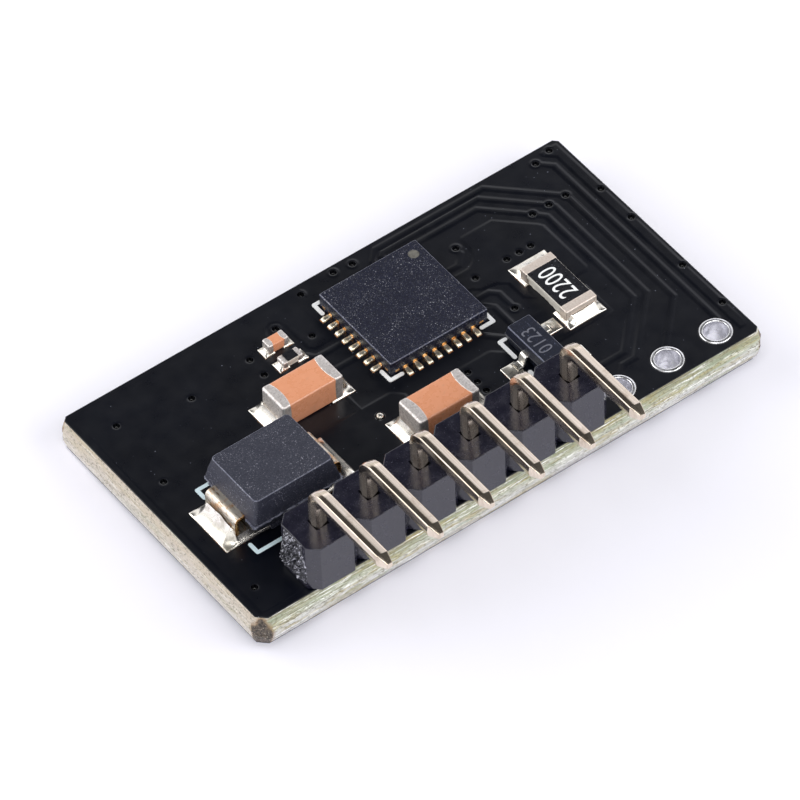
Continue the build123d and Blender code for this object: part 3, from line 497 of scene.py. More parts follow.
def slab(flat, faces, top, bottom):
    """A closed solid between two heights given for each flat point."""
    count = len(flat)
    points = [(x, y, z) for (x, y), z in zip(flat, top)] + [(x, y, z) for (x, y), z in zip(flat, bottom)]
    made = [tuple(f) for f in faces.tolist()]
    directed = {}
    for a, b, c in made:
        for edge in ((a, b), (b, c), (c, a)):
            directed[edge] = True
    walls = [(a, b) for a, b in directed if (b, a) not in directed]
    under = [(a + count, c + count, b + count) for a, b, c in made]
    sides = [(b, a, a + count, b + count) for a, b in walls]
    return points, made + under + sides


def unevenness(x, y, z):
    """A smooth noise of about -1 to 1 at a place."""
    return noise.noise(Vector((x, y, z)))


def smooth(t):
    """An S curve from 0 to 1."""
    t = np.clip(t, 0, 1)
    return t * t * (3 - 2 * t)


# ---------------------------------------------------------------- the solder mask

def level_triangles(node, height):
    """The flat upward triangles of a solid at one height."""
    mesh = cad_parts[node].data
    mesh.calc_loop_triangles()
    corners = np.array([t.vertices[:] for t in mesh.loop_triangles])
    co = np.array([v.co[:] for v in mesh.vertices]) / MM
    tri = co[corners]
    level = np.abs(tri[:, :, 2] - height).max(1) < 5e-4
    a, b, c = tri[:, 0], tri[:, 1], tri[:, 2]
    up = np.cross(b - a, c - a)[:, 2] > 0
    return tri[level & up][:, :, :2]


def rim_of(triangles):
    """The directed edges that only one triangle has, as point keys."""
    keys = np.round(triangles * KEYS_PER_MM).astype(int).tolist()
    directed = set()
    for tri in keys:
        a, b, c = [tuple(k) for k in tri]
        for edge in ((a, b), (b, c), (c, a)):
            directed.add(edge)
    return {(a, b) for a, b in directed if (b, a) not in directed}


def chains(edges):
    """Joins directed edges into lines. A closed line ends on its first point."""
    after = {}
    for a, b in edges:
        after.setdefault(a, []).append(b)
    ends = {b for _, b in edges}
    starts = [a for a in after if a not in ends] + sorted(after)
    lines = []
    for start in starts:
        while after.get(start):
            line = [start]
            while after.get(line[-1]):
                line.append(after[line[-1]].pop())
                if line[-1] == start:
                    break
            lines.append([(x / KEYS_PER_MM, y / KEYS_PER_MM) for x, y in line])
    return lines


def beside(line, shift):
    """A line moved sideways to its left by shift."""
    closed = line[0] == line[-1]
    if closed:
        moved = inset(line[:-1], shift)
        return moved + moved[:1]
    moved = []
    for i, (x, y) in enumerate(line):
        before = line[max(i - 1, 0)]
        after = line[min(i + 1, len(line) - 1)]
        along = Vector((after[0] - before[0], after[1] - before[1])).normalized()
        moved.append((x - along.y * shift, y + along.x * shift))
    return moved


# Points of the rims are told apart by whole numbers of this grid.
KEYS_PER_MM = 2000
# Half a ridge's slanted side, a ridge's height, and how far lines stand off a bend to hold it.
SLOPE, RIDGE, SUPPORT = 0.085, 0.02, 0.02
# The rounded rim: how wide it is and how far it falls.
LIP, LIP_DROP = 0.035, 0.022
# A well's radius, its depth, and how far the skin round it dips.
WELL, WELL_DEPTH, WELL_DIP = 0.142, 0.17, 0.008
WELL_RINGS = (0.21, 0.185, 0.165, 0.153, WELL, 0.1405, 0.137, 0.131, 0.12, 0.10, 0.07, 0.035)


def moved_rim(point):
    """Where the mask's own rim differs a little: a smaller cut at the front right corner, and shorter
    windows along the controller's hidden right-hand row."""
    x, y = point
    if x > 12.3 and y < -6.4:
        return (12.8, -6.93 + RIGHT_CUT) if x > 12.7 else (12.8 - RIGHT_CUT, -6.93)
    beyond = CONTROLLER_PLACE[0] + CONTROLLER_HALF + 0.35
    if 0 < x - beyond < 0.3 and abs(y - CONTROLLER_PLACE[1]) < 2.2:
        return beyond, y
    if math.hypot(x - FILLED_VIA[0], y - FILLED_VIA[1]) < 0.3:
        return tuple(c + (p - c) * 0.72 for p, c in zip(point, FILLED_VIA))
    return x, y


def make_mask():
    """The top mask as one skin: soft ridges over the copper, a well at each via, open lands."""
    low = level_triangles("solder_mask_top", BOARD_TOP)
    high = level_triangles("solder_mask_top", RIDGE_TOP)
    low_rim, high_rim = rim_of(low), rim_of(high)
    steps = {(a, b) for a, b in high_rim if (b, a) in low_rim}
    rim = {e for e in low_rim | high_rim if e not in steps and (e[1], e[0]) not in steps}
    outlines, wells = [], []
    for line in chains(rim):
        xy = np.array(line[:-1])
        centre = xy.mean(0)
        spread = np.hypot(*(xy - centre).T)
        if len(xy) > 6 and spread.max() < 0.15:
            wells.append(tuple(centre))
        elif line[0] == line[-1] and len(xy) > 2:
            outlines.append([moved_rim(p) for p in line[:-1]])
    well_keys = set()
    for a, b in rim:
        middle = ((a[0] + b[0]) / 2 / KEYS_PER_MM, (a[1] + b[1]) / 2 / KEYS_PER_MM)
        if any(math.hypot(middle[0] - w[0], middle[1] - w[1]) < 0.15 for w in wells):
            well_keys.add((a, b))
    high_edges = [[(x / KEYS_PER_MM, y / KEYS_PER_MM) for x, y in edge] for edge in high_rim - well_keys]
    step_lines = chains(steps)
    step_edges = [e for line in step_lines for e in zip(line, line[1:])]

    lines = []
    for line in step_lines:
        for shift in (-SLOPE - SUPPORT, -SLOPE, -SLOPE / 2, 0.0, SLOPE / 2, SLOPE, SLOPE + SUPPORT):
            lines.append(beside(line, shift))
    for well in wells:
        for r in WELL_RINGS:
            ring = circle(well, r, 24)
            lines.append(ring + ring[:1])
    for outline in outlines:
        closed = outline + outline[:1]
        for depth in (LIP / 2, LIP, LIP + SUPPORT):
            lines.append(beside(closed, depth))
    flat, faces = fill(outlines, lines)

    to_step = distance_to(flat, step_edges)
    signed = np.where(inside_of(flat, high_edges), -to_step, to_step)
    over = smooth((SLOPE - signed) / (2 * SLOPE))
    # The pour's ridge fades out behind the controller.
    behind = smooth((flat[:, 0] + 4.5) / 3.0) * smooth((flat[:, 1] - 3.6) / 1.2) * (flat[:, 0] < -0.9)
    over *= 1 - behind
    rim_edges = [e for outline in outlines for e in ring_edges(outline)]
    to_rim = distance_to(flat, rim_edges)
    top = BOARD_TOP + RIDGE * over
    top -= LIP_DROP * (1 - smooth(to_rim / LIP))
    to_well = np.full(len(flat), 9.0)
    for well in wells:
        to_well = np.minimum(to_well, np.hypot(flat[:, 0] - well[0], flat[:, 1] - well[1]))
    top -= WELL_DIP * (1 - smooth((to_well - WELL) / 0.04))
    by_well = (to_well > WELL) & (to_well < 0.3)
    top[by_well] = np.maximum(top[by_well], COPPER_TOP + 0.004)
    top -= WELL_DEPTH * np.clip(1 - (to_well / WELL) ** 3, 0, 1)
    under = np.where(signed < 1e-4, COPPER_TOP + 0.0005, LAMINATE[1] + 0.0005)
    under = np.minimum(under, top - 0.02)
    points, skin = slab(flat, faces, top, under)
    made = piece("mask_skin_top", points, skin, MASK, "solder_mask", ["solder_mask_top"], sharp=60)
    # The via wells take the darker pooled mask: painted shade inside them.
    made.data.materials.append(POOLED_SHADED_MASK)
    centres = np.empty(3 * len(skin))
    made.data.polygons.foreach_get("center", centres)
    centres = centres.reshape(-1, 3) / MM
    near = np.min([np.hypot(centres[:, 0] - w[0], centres[:, 1] - w[1]) for w in wells], 0)
    made.data.polygons.foreach_set("material_index", (near < WELL + 0.012).astype(int).tolist())
    return wells


# ---------------------------------------------------------------- the laminate

def board_corners(grow=0.0):
    """The board's face as a closed outline with cut corners."""
    x, y = BOARD[0] / 2 + grow, BOARD[1] / 2 + grow
    f, b = FRONT_CUT, BACK_CUT
    r = RIGHT_CUT
    return [(-x + f, -y), (x - r, -y), (x, -y + r), (x, y - b),
            (x - b, y), (-x + b, y), (-x, y - b), (-x, -y + f)]


EDGE_STEP = 0.085
# Heights on the edge, and how far it stands out there: furthest at the web between the two scores.
EDGE_ROWS = (
    (0.040, 0.0), (0.075, 0.008), (0.16, 0.033), (0.26, 0.063), (0.36, 0.093), (0.46, 0.122), (0.535, 0.146),
    *((z, SCORE_DEPTH) for z in (0.56, 0.61, 0.66, 0.71, 0.76, 0.81, 0.86, 0.91, 0.96, 1.01, 1.045)),
    (1.07, 0.144), (1.15, 0.12), (1.25, 0.09), (1.35, 0.062), (1.45, 0.033), (1.53, 0.009), (1.56, 0.0),
)


def make_laminate(wells, filled):
    """The glass epoxy blank with torn fibres along its snapped edge."""
    corners = board_corners()
    outline, normals = [], []
    for a, b in zip(corners, corners[1:] + corners[:1]):
        run = math.hypot(b[0] - a[0], b[1] - a[1])
        count = max(2, round(run / EDGE_STEP))
        along = ((b[0] - a[0]) / run, (b[1] - a[1]) / run)
        for i in range(count):
            t = i / count
            outline.append((a[0] + along[0] * run * t, a[1] + along[1] * run * t))
            normals.append(Vector((along[1], -along[0])))
    soft = [(normals[i - 1] + normals[i]).normalized() for i in range(len(normals))]
    rings = []
    for z, out in EDGE_ROWS:
        ring = []
        for (x, y), n in zip(outline, soft):
            web = WEB[0] - 0.02 <= z <= WEB[1] + 0.02
            ends = z in (EDGE_ROWS[0][0], EDGE_ROWS[-1][0])
            long_way = noise.fractal(Vector((x * 1.6, y * 1.6, z * 11)), 0.9, 2.0, 4)
            fine = unevenness(x * 7.5, y * 7.5, z * 16)
            char = math.hypot(x + 12.7, y + 6.8) < 0.7
            push = 0.0 if ends else 0.014 * long_way + 0.007 * fine
            if web:
                push = 0.055 * long_way + 0.03 * fine - 0.03
            if char and not ends:
                push += 0.035 * unevenness(x * 9, y * 9, z * 9)
            reach = out + min(push, 0.06)
            ring.append((x + n.x * reach, y + n.y * reach, z))
        rings.append(ring)
    build = Build()
    build.take(*stack(rings, closed=False))
    holes = [circle(w, 0.17, 20) for w in wells + filled] + [circle((x, HOLE_ROW_Y), BARREL, 40) for x in HOLE_X]
    build.plate(outline, holes, *LAMINATE)
    build.done("laminate_blank", LAMINATE_EDGE, "glass_epoxy", ["board_laminate"], sharp=40)


# ---------------------------------------------------------------- holes and header

def spin(profile, steps, shape=None):
    """A closed profile of radius, height pairs turned about the z axis."""
    points, faces = [], []
    for i in range(steps):
        a = 2 * math.pi * i / steps
        for j, (r, z) in enumerate(profile):
            if shape:
                r, z = shape(r, z, a, j)
            points.append((r * math.cos(a), r * math.sin(a), z))
    count = len(profile)
    for i in range(steps):
        k = (i + 1) % steps
        for j in range(count):
            m = (j + 1) % count
            faces.append((i * count + j, k * count + j, k * count + m, i * count + m))
    return points, faces


def make_barrels():
    """Tinned rings on both faces, joined by the plated walls of the nine holes."""
    build = Build()
    for index, x in enumerate(HOLE_X):
        covered = index < 6
        crest = 0.0 if covered else 0.014
        profile = [
            (BARREL, 0.04), (RING, 0.04), (RING, 0.016), (0.695, 0.004), (0.60, 0.0), (0.552, 0.006),
            *((BORE, z) for z in (0.03, 0.25, 0.5, 0.75, 1.0, 1.25, 1.45, 1.58)),
            (0.538, 1.612 + crest / 2), (0.56, 1.628 + crest), (0.60, 1.633 + crest), (0.65, 1.632 + crest),
            (0.695, 1.622 + crest / 2), (RING, 1.60), (RING, 1.56), (BARREL, 1.56),
        ]

        def wobble(r, z, a, j, seed=index):
            spot = Vector((math.cos(a) * 1.3, math.sin(a) * 1.3, z * 1.2 + seed * 7.3))
            n = noise.fractal(spot * 1.4, 0.8, 2.0, 3)
            if 6 <= j <= 13:
                return r + 0.012 * n, z
            if 14 <= j <= 18 and not covered:
                return r, z + 0.006 * n
            return r, z

        build.take(*spin(profile, 56, wobble), place=(x, HOLE_ROW_Y, 0))
    build.done("hole_barrels", TINNED, "tin", ["barrel_plating"], sharp=50)


def make_pin_joints():
    """The wave-soldered joint round each pin's tail, hollow as molten tin leaves it."""
    build = Build()

    def square(a):
        return PIN_HALF / max(abs(math.cos(a)), abs(math.sin(a))) - 0.004

    rows = [(0.0, 0.004), (0.10, -0.045), (0.25, -0.12), (0.45, -0.22),
            (0.68, -0.33), (0.88, -0.41), (1.0, -0.45)]

    def shape(r, z, a, j):
        inner = min(square(a), 0.44)
        if j < len(rows):
            t = rows[j][0]
            swell = 0.01 * unevenness(math.cos(a) * 2, math.sin(a) * 2, z * 4)
            return 0.705 + (inner + 0.02 - 0.705) * t ** 0.55 + swell * (1 - t), z
        if j < len(rows) + 2:
            return inner, z
        return r, z

    profile = rows + [(0.3, -0.44), (0.3, 1.5), (0.528, 1.5), (0.528, 0.03)]
    joint = spin(profile, 48, shape)
    for x in PIN_X:
        build.take(joint[0], [f[::-1] for f in joint[1]], place=(x, HOLE_ROW_Y, 0))
    build.done("tail_joints", SOLDER, "solder", ["header_pin_solder"], sharp=50)


def housing_outline():
    """Six cells side by side with cut corners, anticlockwise."""
    depth, half, cut = 1.25, PITCH / 2, 0.45
    front, back = [], []
    for x in PIN_X:
        front += [(x - half, -depth + cut), (x - half + cut, -depth), (x + half - cut, -depth)]
        back += [(x - half, depth - cut), (x - half + cut, depth), (x + half - cut, depth)]
    right = PIN_X[-1] + half
    front.append((right, -depth + cut))
    back.append((right, depth - cut))
    return [(x, y + HOLE_ROW_Y) for x, y in front + back[::-1]]


def rounded_prism(outline, z_low, z_high, radius, steps=3, holes=()):
    """A prism with rounded top and bottom rims, and straight holes through it."""
    build = Build()
    rings = []
    for side in (0, 1):
        for i in range(steps + 1):
            a = math.pi / 2 * (i if side == 0 else steps - i) / steps
            depth = radius * (1 - math.sin(a))
            z = z_low + radius * (1 - math.cos(a)) if side == 0 else z_high - radius * (1 - math.cos(a))
            rings.append([(x, y, z) for x, y in inset(outline, depth)])
    build.take(*stack(rings, closed=False))
    build.plate(inset(outline, radius), holes, z_low, z_high)
    return build


def make_header():
    """The moulded housing, and the rough break where the next cell was snapped off."""
    holes = []
    for x in PIN_X:
        holes.append([(x + sx * 0.33, HOLE_ROW_Y + sy * 0.33) for sx, sy in ((1, 1), (-1, 1), (-1, -1), (1, -1))])
    build = rounded_prism(housing_outline(), RING_TOP, RING_TOP + 2.5, 0.05, 3, holes)
    build.done("moulded_housing", NYLON, "header_plastic", ["header_housing"], sharp=40)

    left = PIN_X[0] - PITCH / 2
    rows, columns = 70, 54
    points = []
    for r in range(rows + 1):
        for c in range(columns + 1):
            v, u = r / rows, c / columns
            half = 0.60 + 0.24 * math.sin(math.pi * min(1, 0.25 + v * 0.9))
            half += 0.05 * unevenness(v * 6, 3, 1)
            y = HOLE_ROW_Y + (2 * u - 1) * half
            z = RING_TOP + 0.34 + 2.13 * v + 0.12 * unevenness(u * 5, 8.5, 2) * (1 - v)
            swell = min(1.0, 5 * min(u, 1 - u)) * min(1.0, 5 * v, 7 * (1 - v) + 0.15)
            tear = noise.fractal(Vector((y * 5.5, z * 5.5, 3.1)), 0.5, 2.1, 6)
            shard = 1 - abs(unevenness(y * 9, z * 5, 1.0)) * 2.4
            out = 0.02 + (0.06 + 0.20 * tear + 0.20 * max(0.0, shard)) * swell
            out = min(out, 0.31)
            points.append((left - max(out, 0.012), y, z))
    faces = []
    wide = columns + 1
    for r in range(rows):
        for c in range(columns):
            a = r * wide + c
            faces.append((a, a + wide, a + wide + 1, a + 1))
    rim = [c for c in range(wide)] + [r * wide + columns for r in range(1, rows + 1)]
    rim += [rows * wide + c for c in range(columns - 1, -1, -1)] + [r * wide for r in range(rows - 1, 0, -1)]
    base = len(points)
    for i in rim:
        points.append((left + 0.02, points[i][1], points[i][2]))
    for i in range(len(rim)):
        j = (i + 1) % len(rim)
        faces.append((rim[i], rim[j], base + j, base + i))
    faces.append(tuple(base + i for i in range(len(rim)))[::-1])
    stub = Build()
    stub.take(points, faces)
    stub.done("torn_cell_end", TORN, "header_plastic", ["header_housing"], sharp=25)


# ---------------------------------------------------------------- solder

def pool(outer, land, face, half_body, climb, seed, wedge=0.35):
    """Tin on one land, drawn along +X: a thin coat that sweeps up to the part's end face.
    outer is where the land ends, face where the part's end face stands, wedge how straight the sweep is."""
    length, width = land
    x_low, x_high = outer - length, outer
    xs = sorted({*np.linspace(x_low, x_high, 28).round(4).tolist(),
                 face, round(face - 0.04, 4), round(x_high - 0.02, 4)})
    side = width / 2
    ys = sorted({*np.linspace(-side, side, 29).round(4).tolist(), round(side - 0.02, 4), round(0.02 - side, 4)})
    rise_x, rise_y = x_high - face, max(0.1, side - half_body)
    points, faces = [], []
    for x in xs:
        for y in ys:
            edge = min(x - x_low, x_high - x, side - abs(y))
            coat = 0.010 + 0.034 * math.sqrt(max(0.0, 1 - (1 - min(edge / 0.07, 1)) ** 2))
            dx, dy = max(x - face, 0.0) / rise_x, max(abs(y) - half_body, 0.0) / rise_y
            near = 1 - min(1.0, math.hypot(dx, dy))
            sweep = wedge * near + (1 - wedge) * near ** 2.6
            ripple = unevenness(x * 1.7, y * 1.7, seed)
            corner = 1 - 0.65 * float(smooth((abs(y) - half_body + 0.2) / 0.25))
            beside = 0.3 + 0.7 * float(smooth((x - face + 0.05) / 0.1))
            rise = climb * (1 + 0.18 * ripple) * sweep * min(corner, beside)
            if x < face - 0.02 and abs(y) < half_body:
                rise, coat = 0.0, min(coat, 0.026)
            lump = 0.010 * ripple * float(smooth(edge / 0.15))
            points.append((x, y, max(COPPER_TOP + coat + rise + lump, COPPER_TOP + 0.008)))
    wide = len(ys)
    for i in range(len(xs) - 1):
        for j in range(wide - 1):
            a = i * wide + j
            faces.append((a, a + wide, a + wide + 1, a + 1))
    rim = [i * wide for i in range(len(xs))] + [(len(xs) - 1) * wide + j for j in range(1, wide)]
    rim += [i * wide + wide - 1 for i in range(len(xs) - 2, -1, -1)] + list(range(wide - 2, 0, -1))
    base = len(points)
    points += [(points[i][0], points[i][1], COPPER_TOP) for i in rim]
    for i in range(len(rim)):
        j = (i + 1) % len(rim)
        faces.append((rim[j], rim[i], base + i, base + j))
    faces.append(tuple(base + i for i in range(len(rim)))[::-1])
    return points, faces


def chip_pools(name, place, turn, shift, span, land, body, climb, node, wedge):
    """Both lands of one chip part. shift moves the lands from the part's centre, before the turn."""
    build = Build()
    c, s = math.cos(math.radians(turn)), math.sin(math.radians(turn))
    for side, facing in ((1, 0), (-1, 180)):
        outer = span / 2 + side * shift[0]
        # The land is off the part's middle line by shift[1].
        place_xy = (place[0] - s * shift[1], place[1] + c * shift[1], 0)
        points, faces = pool(outer, land, body[0] / 2, body[1] / 2 - 0.02, climb, place[0] + side * 5.0, wedge)
        build.take(points, faces, place_xy, turn + facing)
    build.done(name, SOLDER, "solder", [node], sharp=60)


def make_controller_solder():
    """A small bright tongue of tin at each of the controller's 32 lands."""
    build = Build()
    for side in range(4):
        for index in range(8):
            across = 0.5 * (index - 3.5)
            seed = side * 10 + index
            reach = (0.44 if side else 0.345) + 0.03 * unevenness(seed, 1.3, 0) * bool(side)
            lump = 1.0 + 0.3 * unevenness(seed * 1.7, 4.1, 0)
            # Seen from the front the right-hand row hides behind the package, where its tin lies flat.
            high = 1.0 if side in (2, 3) else 0.45
            rings = []
            for along, height, half in (
                (-0.38, 0.026, 0.11), (-0.01, 0.028, 0.115), (0.0, 0.12, 0.115), (0.04, 0.125 * lump, 0.118),
                (0.10, 0.105 * lump, 0.124), (0.18, 0.10 * lump, 0.13), (0.25, 0.105 * lump, 0.132),
                (reach - 0.08, 0.09 * lump, 0.13), (reach - 0.03, 0.055, 0.118), (reach, 0.02, 0.095),
            ):
                height = 0.02 + (height - 0.02) * high if along > 0.02 else height
                ring = []
                for k in range(11):
                    a = math.pi * k / 10
                    rise = 0.01 + (height - 0.01) * math.sin(a) ** 0.7
                    ring.append((CONTROLLER_HALF + along, -half * math.cos(a), COPPER_TOP + rise))
                ring += [(CONTROLLER_HALF + along, y, COPPER_TOP) for y in (half, -half)]
                rings.append(ring)
            points, faces = stack(rings)
            points = [(x, y + across, z) for x, y, z in points]
            build.take(points, faces, (*CONTROLLER_PLACE, 0), 90 * side)
    flat = rounded(1.64, 1.64, 0.05, 3)
    points, faces = stack([[(x, y, z) for x, y in flat] for z in (COPPER_TOP, SEAT - 0.001)])
    build.take(points, faces, (*CONTROLLER_PLACE, 0))
    build.done("controller_tongues", TONGUE, "solder", ["controller_solder"], sharp=60)


# Length and width of the lands under the large, small, sense resistor's and diode's ends.
LARGE_LAND, SMALL_LAND, SENSE_LAND, DIODE_LAND = (1.15, 1.87), (0.52, 0.62), (1.2, 1.92), (2.3, 2.67)


def make_solder():
    """Solder of every surface-mounted part but the controller. Each row: the part, its place and turn, the
    lands' shift and span, a land, the part's body, how high the tin climbs and how straight it sweeps."""
    for name, place, turn, shift, span, land, body, climb, wedge in (
        ("left_capacitor", LEFT_CAP, 0, (0.02, 0.13), 4.15, LARGE_LAND, LARGE_CHIP, 0.55, 0.35),
        ("right_capacitor", RIGHT_CAP, 0, (0.03, 0.11), 4.15, LARGE_LAND, LARGE_CHIP, 0.55, 0.35),
        ("small_capacitor", SMALL_CAP, 0, (0, 0), 1.46, SMALL_LAND, SMALL_CHIP, 0.22, 0.35),
        ("small_resistor", SMALL_RESISTOR, 0, (0, 0), 1.46, SMALL_LAND, THIN_CHIP, 0.2, 0.35),
        ("sense_resistor", SENSE_RESISTOR, 90, (0.14, -0.04), 4.28, SENSE_LAND, SENSE_CHIP, 0.36, 0.75),
        ("surge_diode", DIODE_PLACE, 0, (0, 0), 6.67, DIODE_LAND, (5.34, 2.1), 0.88, 0.35),
    ):
        chip_pools(f"{name}_joints", place, turn, shift, span, land, body, climb, f"{name}_solder", wedge)
    build = Build()
    x, y = TRANSISTOR_PLACE
    for turn, across in ((180, 0.0), (0, LEG_SPACING), (0, -LEG_SPACING)):
        build.take(*pool(1.75, (0.8, 0.72), 1.25, 0.21, 0.1, across), (x, y + across, 0), turn)
    build.done("transistor_joints", SOLDER, "solder", ["transistor_solder"], sharp=50)


def make_filled_via(place):
    """A via that took solder: a small bright dome."""
    profile = [(0.17, 0.0), (0.165, 0.02), (0.15, 0.05), (0.12, 0.08), (0.07, 0.10), (0.012, 0.104)]
    rings = [[(x, y, COPPER_TOP + z) for x, y in circle((0, 0), r, 28)] for r, z in profile]
    build = Build()
    build.take(*stack(rings), place=(place[0], place[1], 0))
    build.done("filled_via_dome", SOLDER, "solder", ["filled_via_solder"], sharp=60)
    # The collar takes the same darker pooled mask: painted shade round the dome's foot.
    collar = Build()
    rings = [[(x, y, COPPER_TOP + z) for x, y in circle((0, 0), r, 28)]
             for r, z in ((0.245, 0.001), (0.225, 0.02), (0.19, 0.032), (0.155, 0.03), (0.14, 0.004))]
    collar.take(*stack(rings), place=(place[0], place[1], 0))
    collar.done("filled_via_collar", POOLED_SHADED_MASK, "solder_mask", [], sharp=60)


# ---------------------------------------------------------------- packages

def tapered_body(rows, base_z, flash, seed):
    """Rounded rectangles stacked up: half length, half width, corner radius and height of each.
    Between the two flash heights, thin resin squeezed out of the mould stands off unevenly."""
    rings = []
    for hx, hy, r, z in rows:
        ring = []
        for x, y in rounded(hx, hy, r, 4, 40):
            push = 0.0015 * unevenness(x * 3, y * 3, z * 4 + seed)
            drop = 0.0
            if flash[0] <= z <= flash[1]:
                rag = noise.fractal(Vector((x * 2.2, y * 2.2, seed)), 0.8, 2.0, 4)
                push += min(0.2 * rag, 0.05)
                drop = 0.08 * rag
            ring.append((x * (1 + push / hx), y * (1 + push / hy), base_z + z + drop))
        rings.append(ring)
    return stack(rings)


def make_diode():
    """The diode's moulding: two tapers that meet at a flashed parting line, over a low keel."""
    build = Build()
    rows = [
        (1.80, 1.36, 0.10, 0.245), (1.97, 1.53, 0.10, 0.70), (2.10, 1.66, 0.11, 1.04), (2.12, 1.68, 0.11, 1.07),
        (2.245, 1.82, 0.11, 1.082), (2.245, 1.82, 0.11, 1.10), (2.185, 1.76, 0.12, 1.115),
        (2.075, 1.68, 0.13, 1.65), (1.945, 1.555, 0.19, 2.26), (1.939, 1.549, 0.19, 2.279),
        (1.926, 1.536, 0.19, 2.293), (1.908, 1.518, 0.18, 2.30),
    ]
    build.take(*tapered_body(rows, BOARD_TOP, (1.08, 1.105), 2.0), place=(*DIODE_PLACE, 0))
    keel = [(1.2, 1.5, 0.05, 0.08), (1.2, 1.5, 0.05, 0.26)]
    build.take(*tapered_body(keel, BOARD_TOP, (9, 9), 2.0), place=(*DIODE_PLACE, 0))
    made = build.done("surge_diode_moulding", DIODE, "mould_compound", ["surge_diode_package"], sharp=38)
    # The top edge band and the flash line take the lighter copy: painted highlights.
    build.paint_highlight(made, DIODE_EDGE_HIGHLIGHT, lambda at, n: at.z > BOARD_TOP + 2.262 and n.z < 0.98 or 2.66 < at.z < 2.74)


def make_transistor():
    """The transistor's moulding, with its parting line at half height."""
    build = Build()
    rows = [
        (0.56, 1.36, 0.05, 0.06), (0.65, 1.45, 0.06, 0.52), (0.665, 1.465, 0.06, 0.54),
        (0.665, 1.465, 0.06, 0.56), (0.645, 1.445, 0.06, 0.575), (0.575, 1.375, 0.07, 0.94),
        (0.56, 1.36, 0.07, 0.975), (0.535, 1.335, 0.06, 0.995), (0.51, 1.31, 0.05, 1.0),
    ]
    build.take(*tapered_body(rows, BOARD_TOP, (9, 9), 5.0), place=(*TRANSISTOR_PLACE, 0))
    made = build.done("transistor_moulding", TRANSISTOR, "mould_compound", ["transistor_package"], sharp=38)
    # The top edge band takes the lighter copy: a painted highlight.
    build.paint_highlight(made, TRANSISTOR_EDGE_HIGHLIGHT, lambda at, n: at.z > BOARD_TOP + 0.945 and n.z < 0.98)


def across_ring(x, half_y, z_low, z_high, radius, inwards=0.0):
    """A rounded rectangle that stands across the X axis, drawn in by a depth."""
    half_z = (z_high - z_low) / 2
    outline = rounded(half_y - inwards, half_z - inwards, max(radius - inwards, 0.01), 5, 9)
    return [(x, y, z_low + half_z + z) for y, z in outline]


def dipped_end(half_x, half_y, height, radius, band, proud):
    """One metal end of a chip part towards +X. The metal reaches band[0] back along the middle of each
    face and band[1] along its edges."""
    low, high = SEAT - proud * 0.3, SEAT + height + proud
    half_z = (high - low) / 2
    plain = across_ring(0, half_y + proud, low, high, radius)
    starts = []
    for _, y, z in plain:
        flank = abs(y) / (half_y + proud) > abs(z - low - half_z) / half_z
        across = abs(z - low - half_z) / half_z if flank else abs(y) / (half_y + proud)
        bow = (1 - min(1.0, across) ** 2) * (0.3 if flank else 1.0)
        starts.append(half_x - band[0] + (band[0] - band[1]) * (1 - bow))
    rings = []
    for back, inwards in ((-0.02, proud + 0.01), (0.0, proud * 0.75), (0.018, proud * 0.15), (0.05, 0.0)):
        ring = across_ring(0, half_y + proud, low, high, radius, inwards)
        rings.append([(start + back, y, z) for start, (_, y, z) in zip(starts, ring)])
    end = half_x + proud * 0.4
    soft = radius * 1.2
    for i in range(6):
        a = math.pi / 2 * i / 5
        ring = across_ring(end - soft * (1 - math.sin(a)), half_y + proud, low, high, radius,
                           min(soft * (1 - math.cos(a)), half_z * 0.8))
        rings.append(ring)
    return stack(rings)


def chip_body(half_x, half_y, height, radius, seed, snapped):
    """The ceramic between a chip part's two ends. A snapped plate breaks back under its scored top."""
    rings = []
    for x in np.linspace(-half_x, half_x, 31):
        ring = []
        for _, y, z in across_ring(0, half_y, SEAT + 0.002, SEAT + height, radius):
            shift = 0.004 * unevenness(x * 2, y * 2, z * 2 + seed)
            if snapped and abs(y) > half_y - radius - 0.01:
                under = smooth((SEAT + height * 0.62 - z + 0.05 * unevenness(x * 3, seed, 0)) / (height * 0.12))
                shift -= math.copysign(snapped * float(under) * (1 + 0.5 * unevenness(x * 5, z * 5, seed)), y)
            ring.append((float(x), y + shift, z))
        rings.append(ring)
    return stack(rings)


def make_chip(name, place, turn, size, radii, band, materials, slots, proud):
    """A chip part: its body and two metal ends."""
    length, width, height = size
    body = Build()
    snapped = 0.0 if slots[0] == "orange_ceramic" else width * 0.05
    body.take(*chip_body(length / 2 - max(0.06, radii[1] * 1.6), width / 2, height, radii[0], place[0], snapped),
              (*place, 0), turn)
    if slots[0] == "orange_ceramic":
        names = ("ceramic", "terminal_left", "terminal_right")
    elif turn:
        names = ("substrate", "terminal_front", "terminal_back")
    else:
        names = ("substrate", "terminal_left", "terminal_right")
    body.done(f"{name}_body", materials[0], slots[0], [f"{name}_{names[0]}"], sharp=40)
    for node, facing in ((names[1], 180), (names[2], 0)):
        end = Build()
        end.take(*dipped_end(length / 2, width / 2, height, radii[1], band, proud), (*place, 0), turn + facing)
        end.done(f"{name}_{node}_cap", materials[1], slots[1], [f"{name}_{node}"], sharp=50)


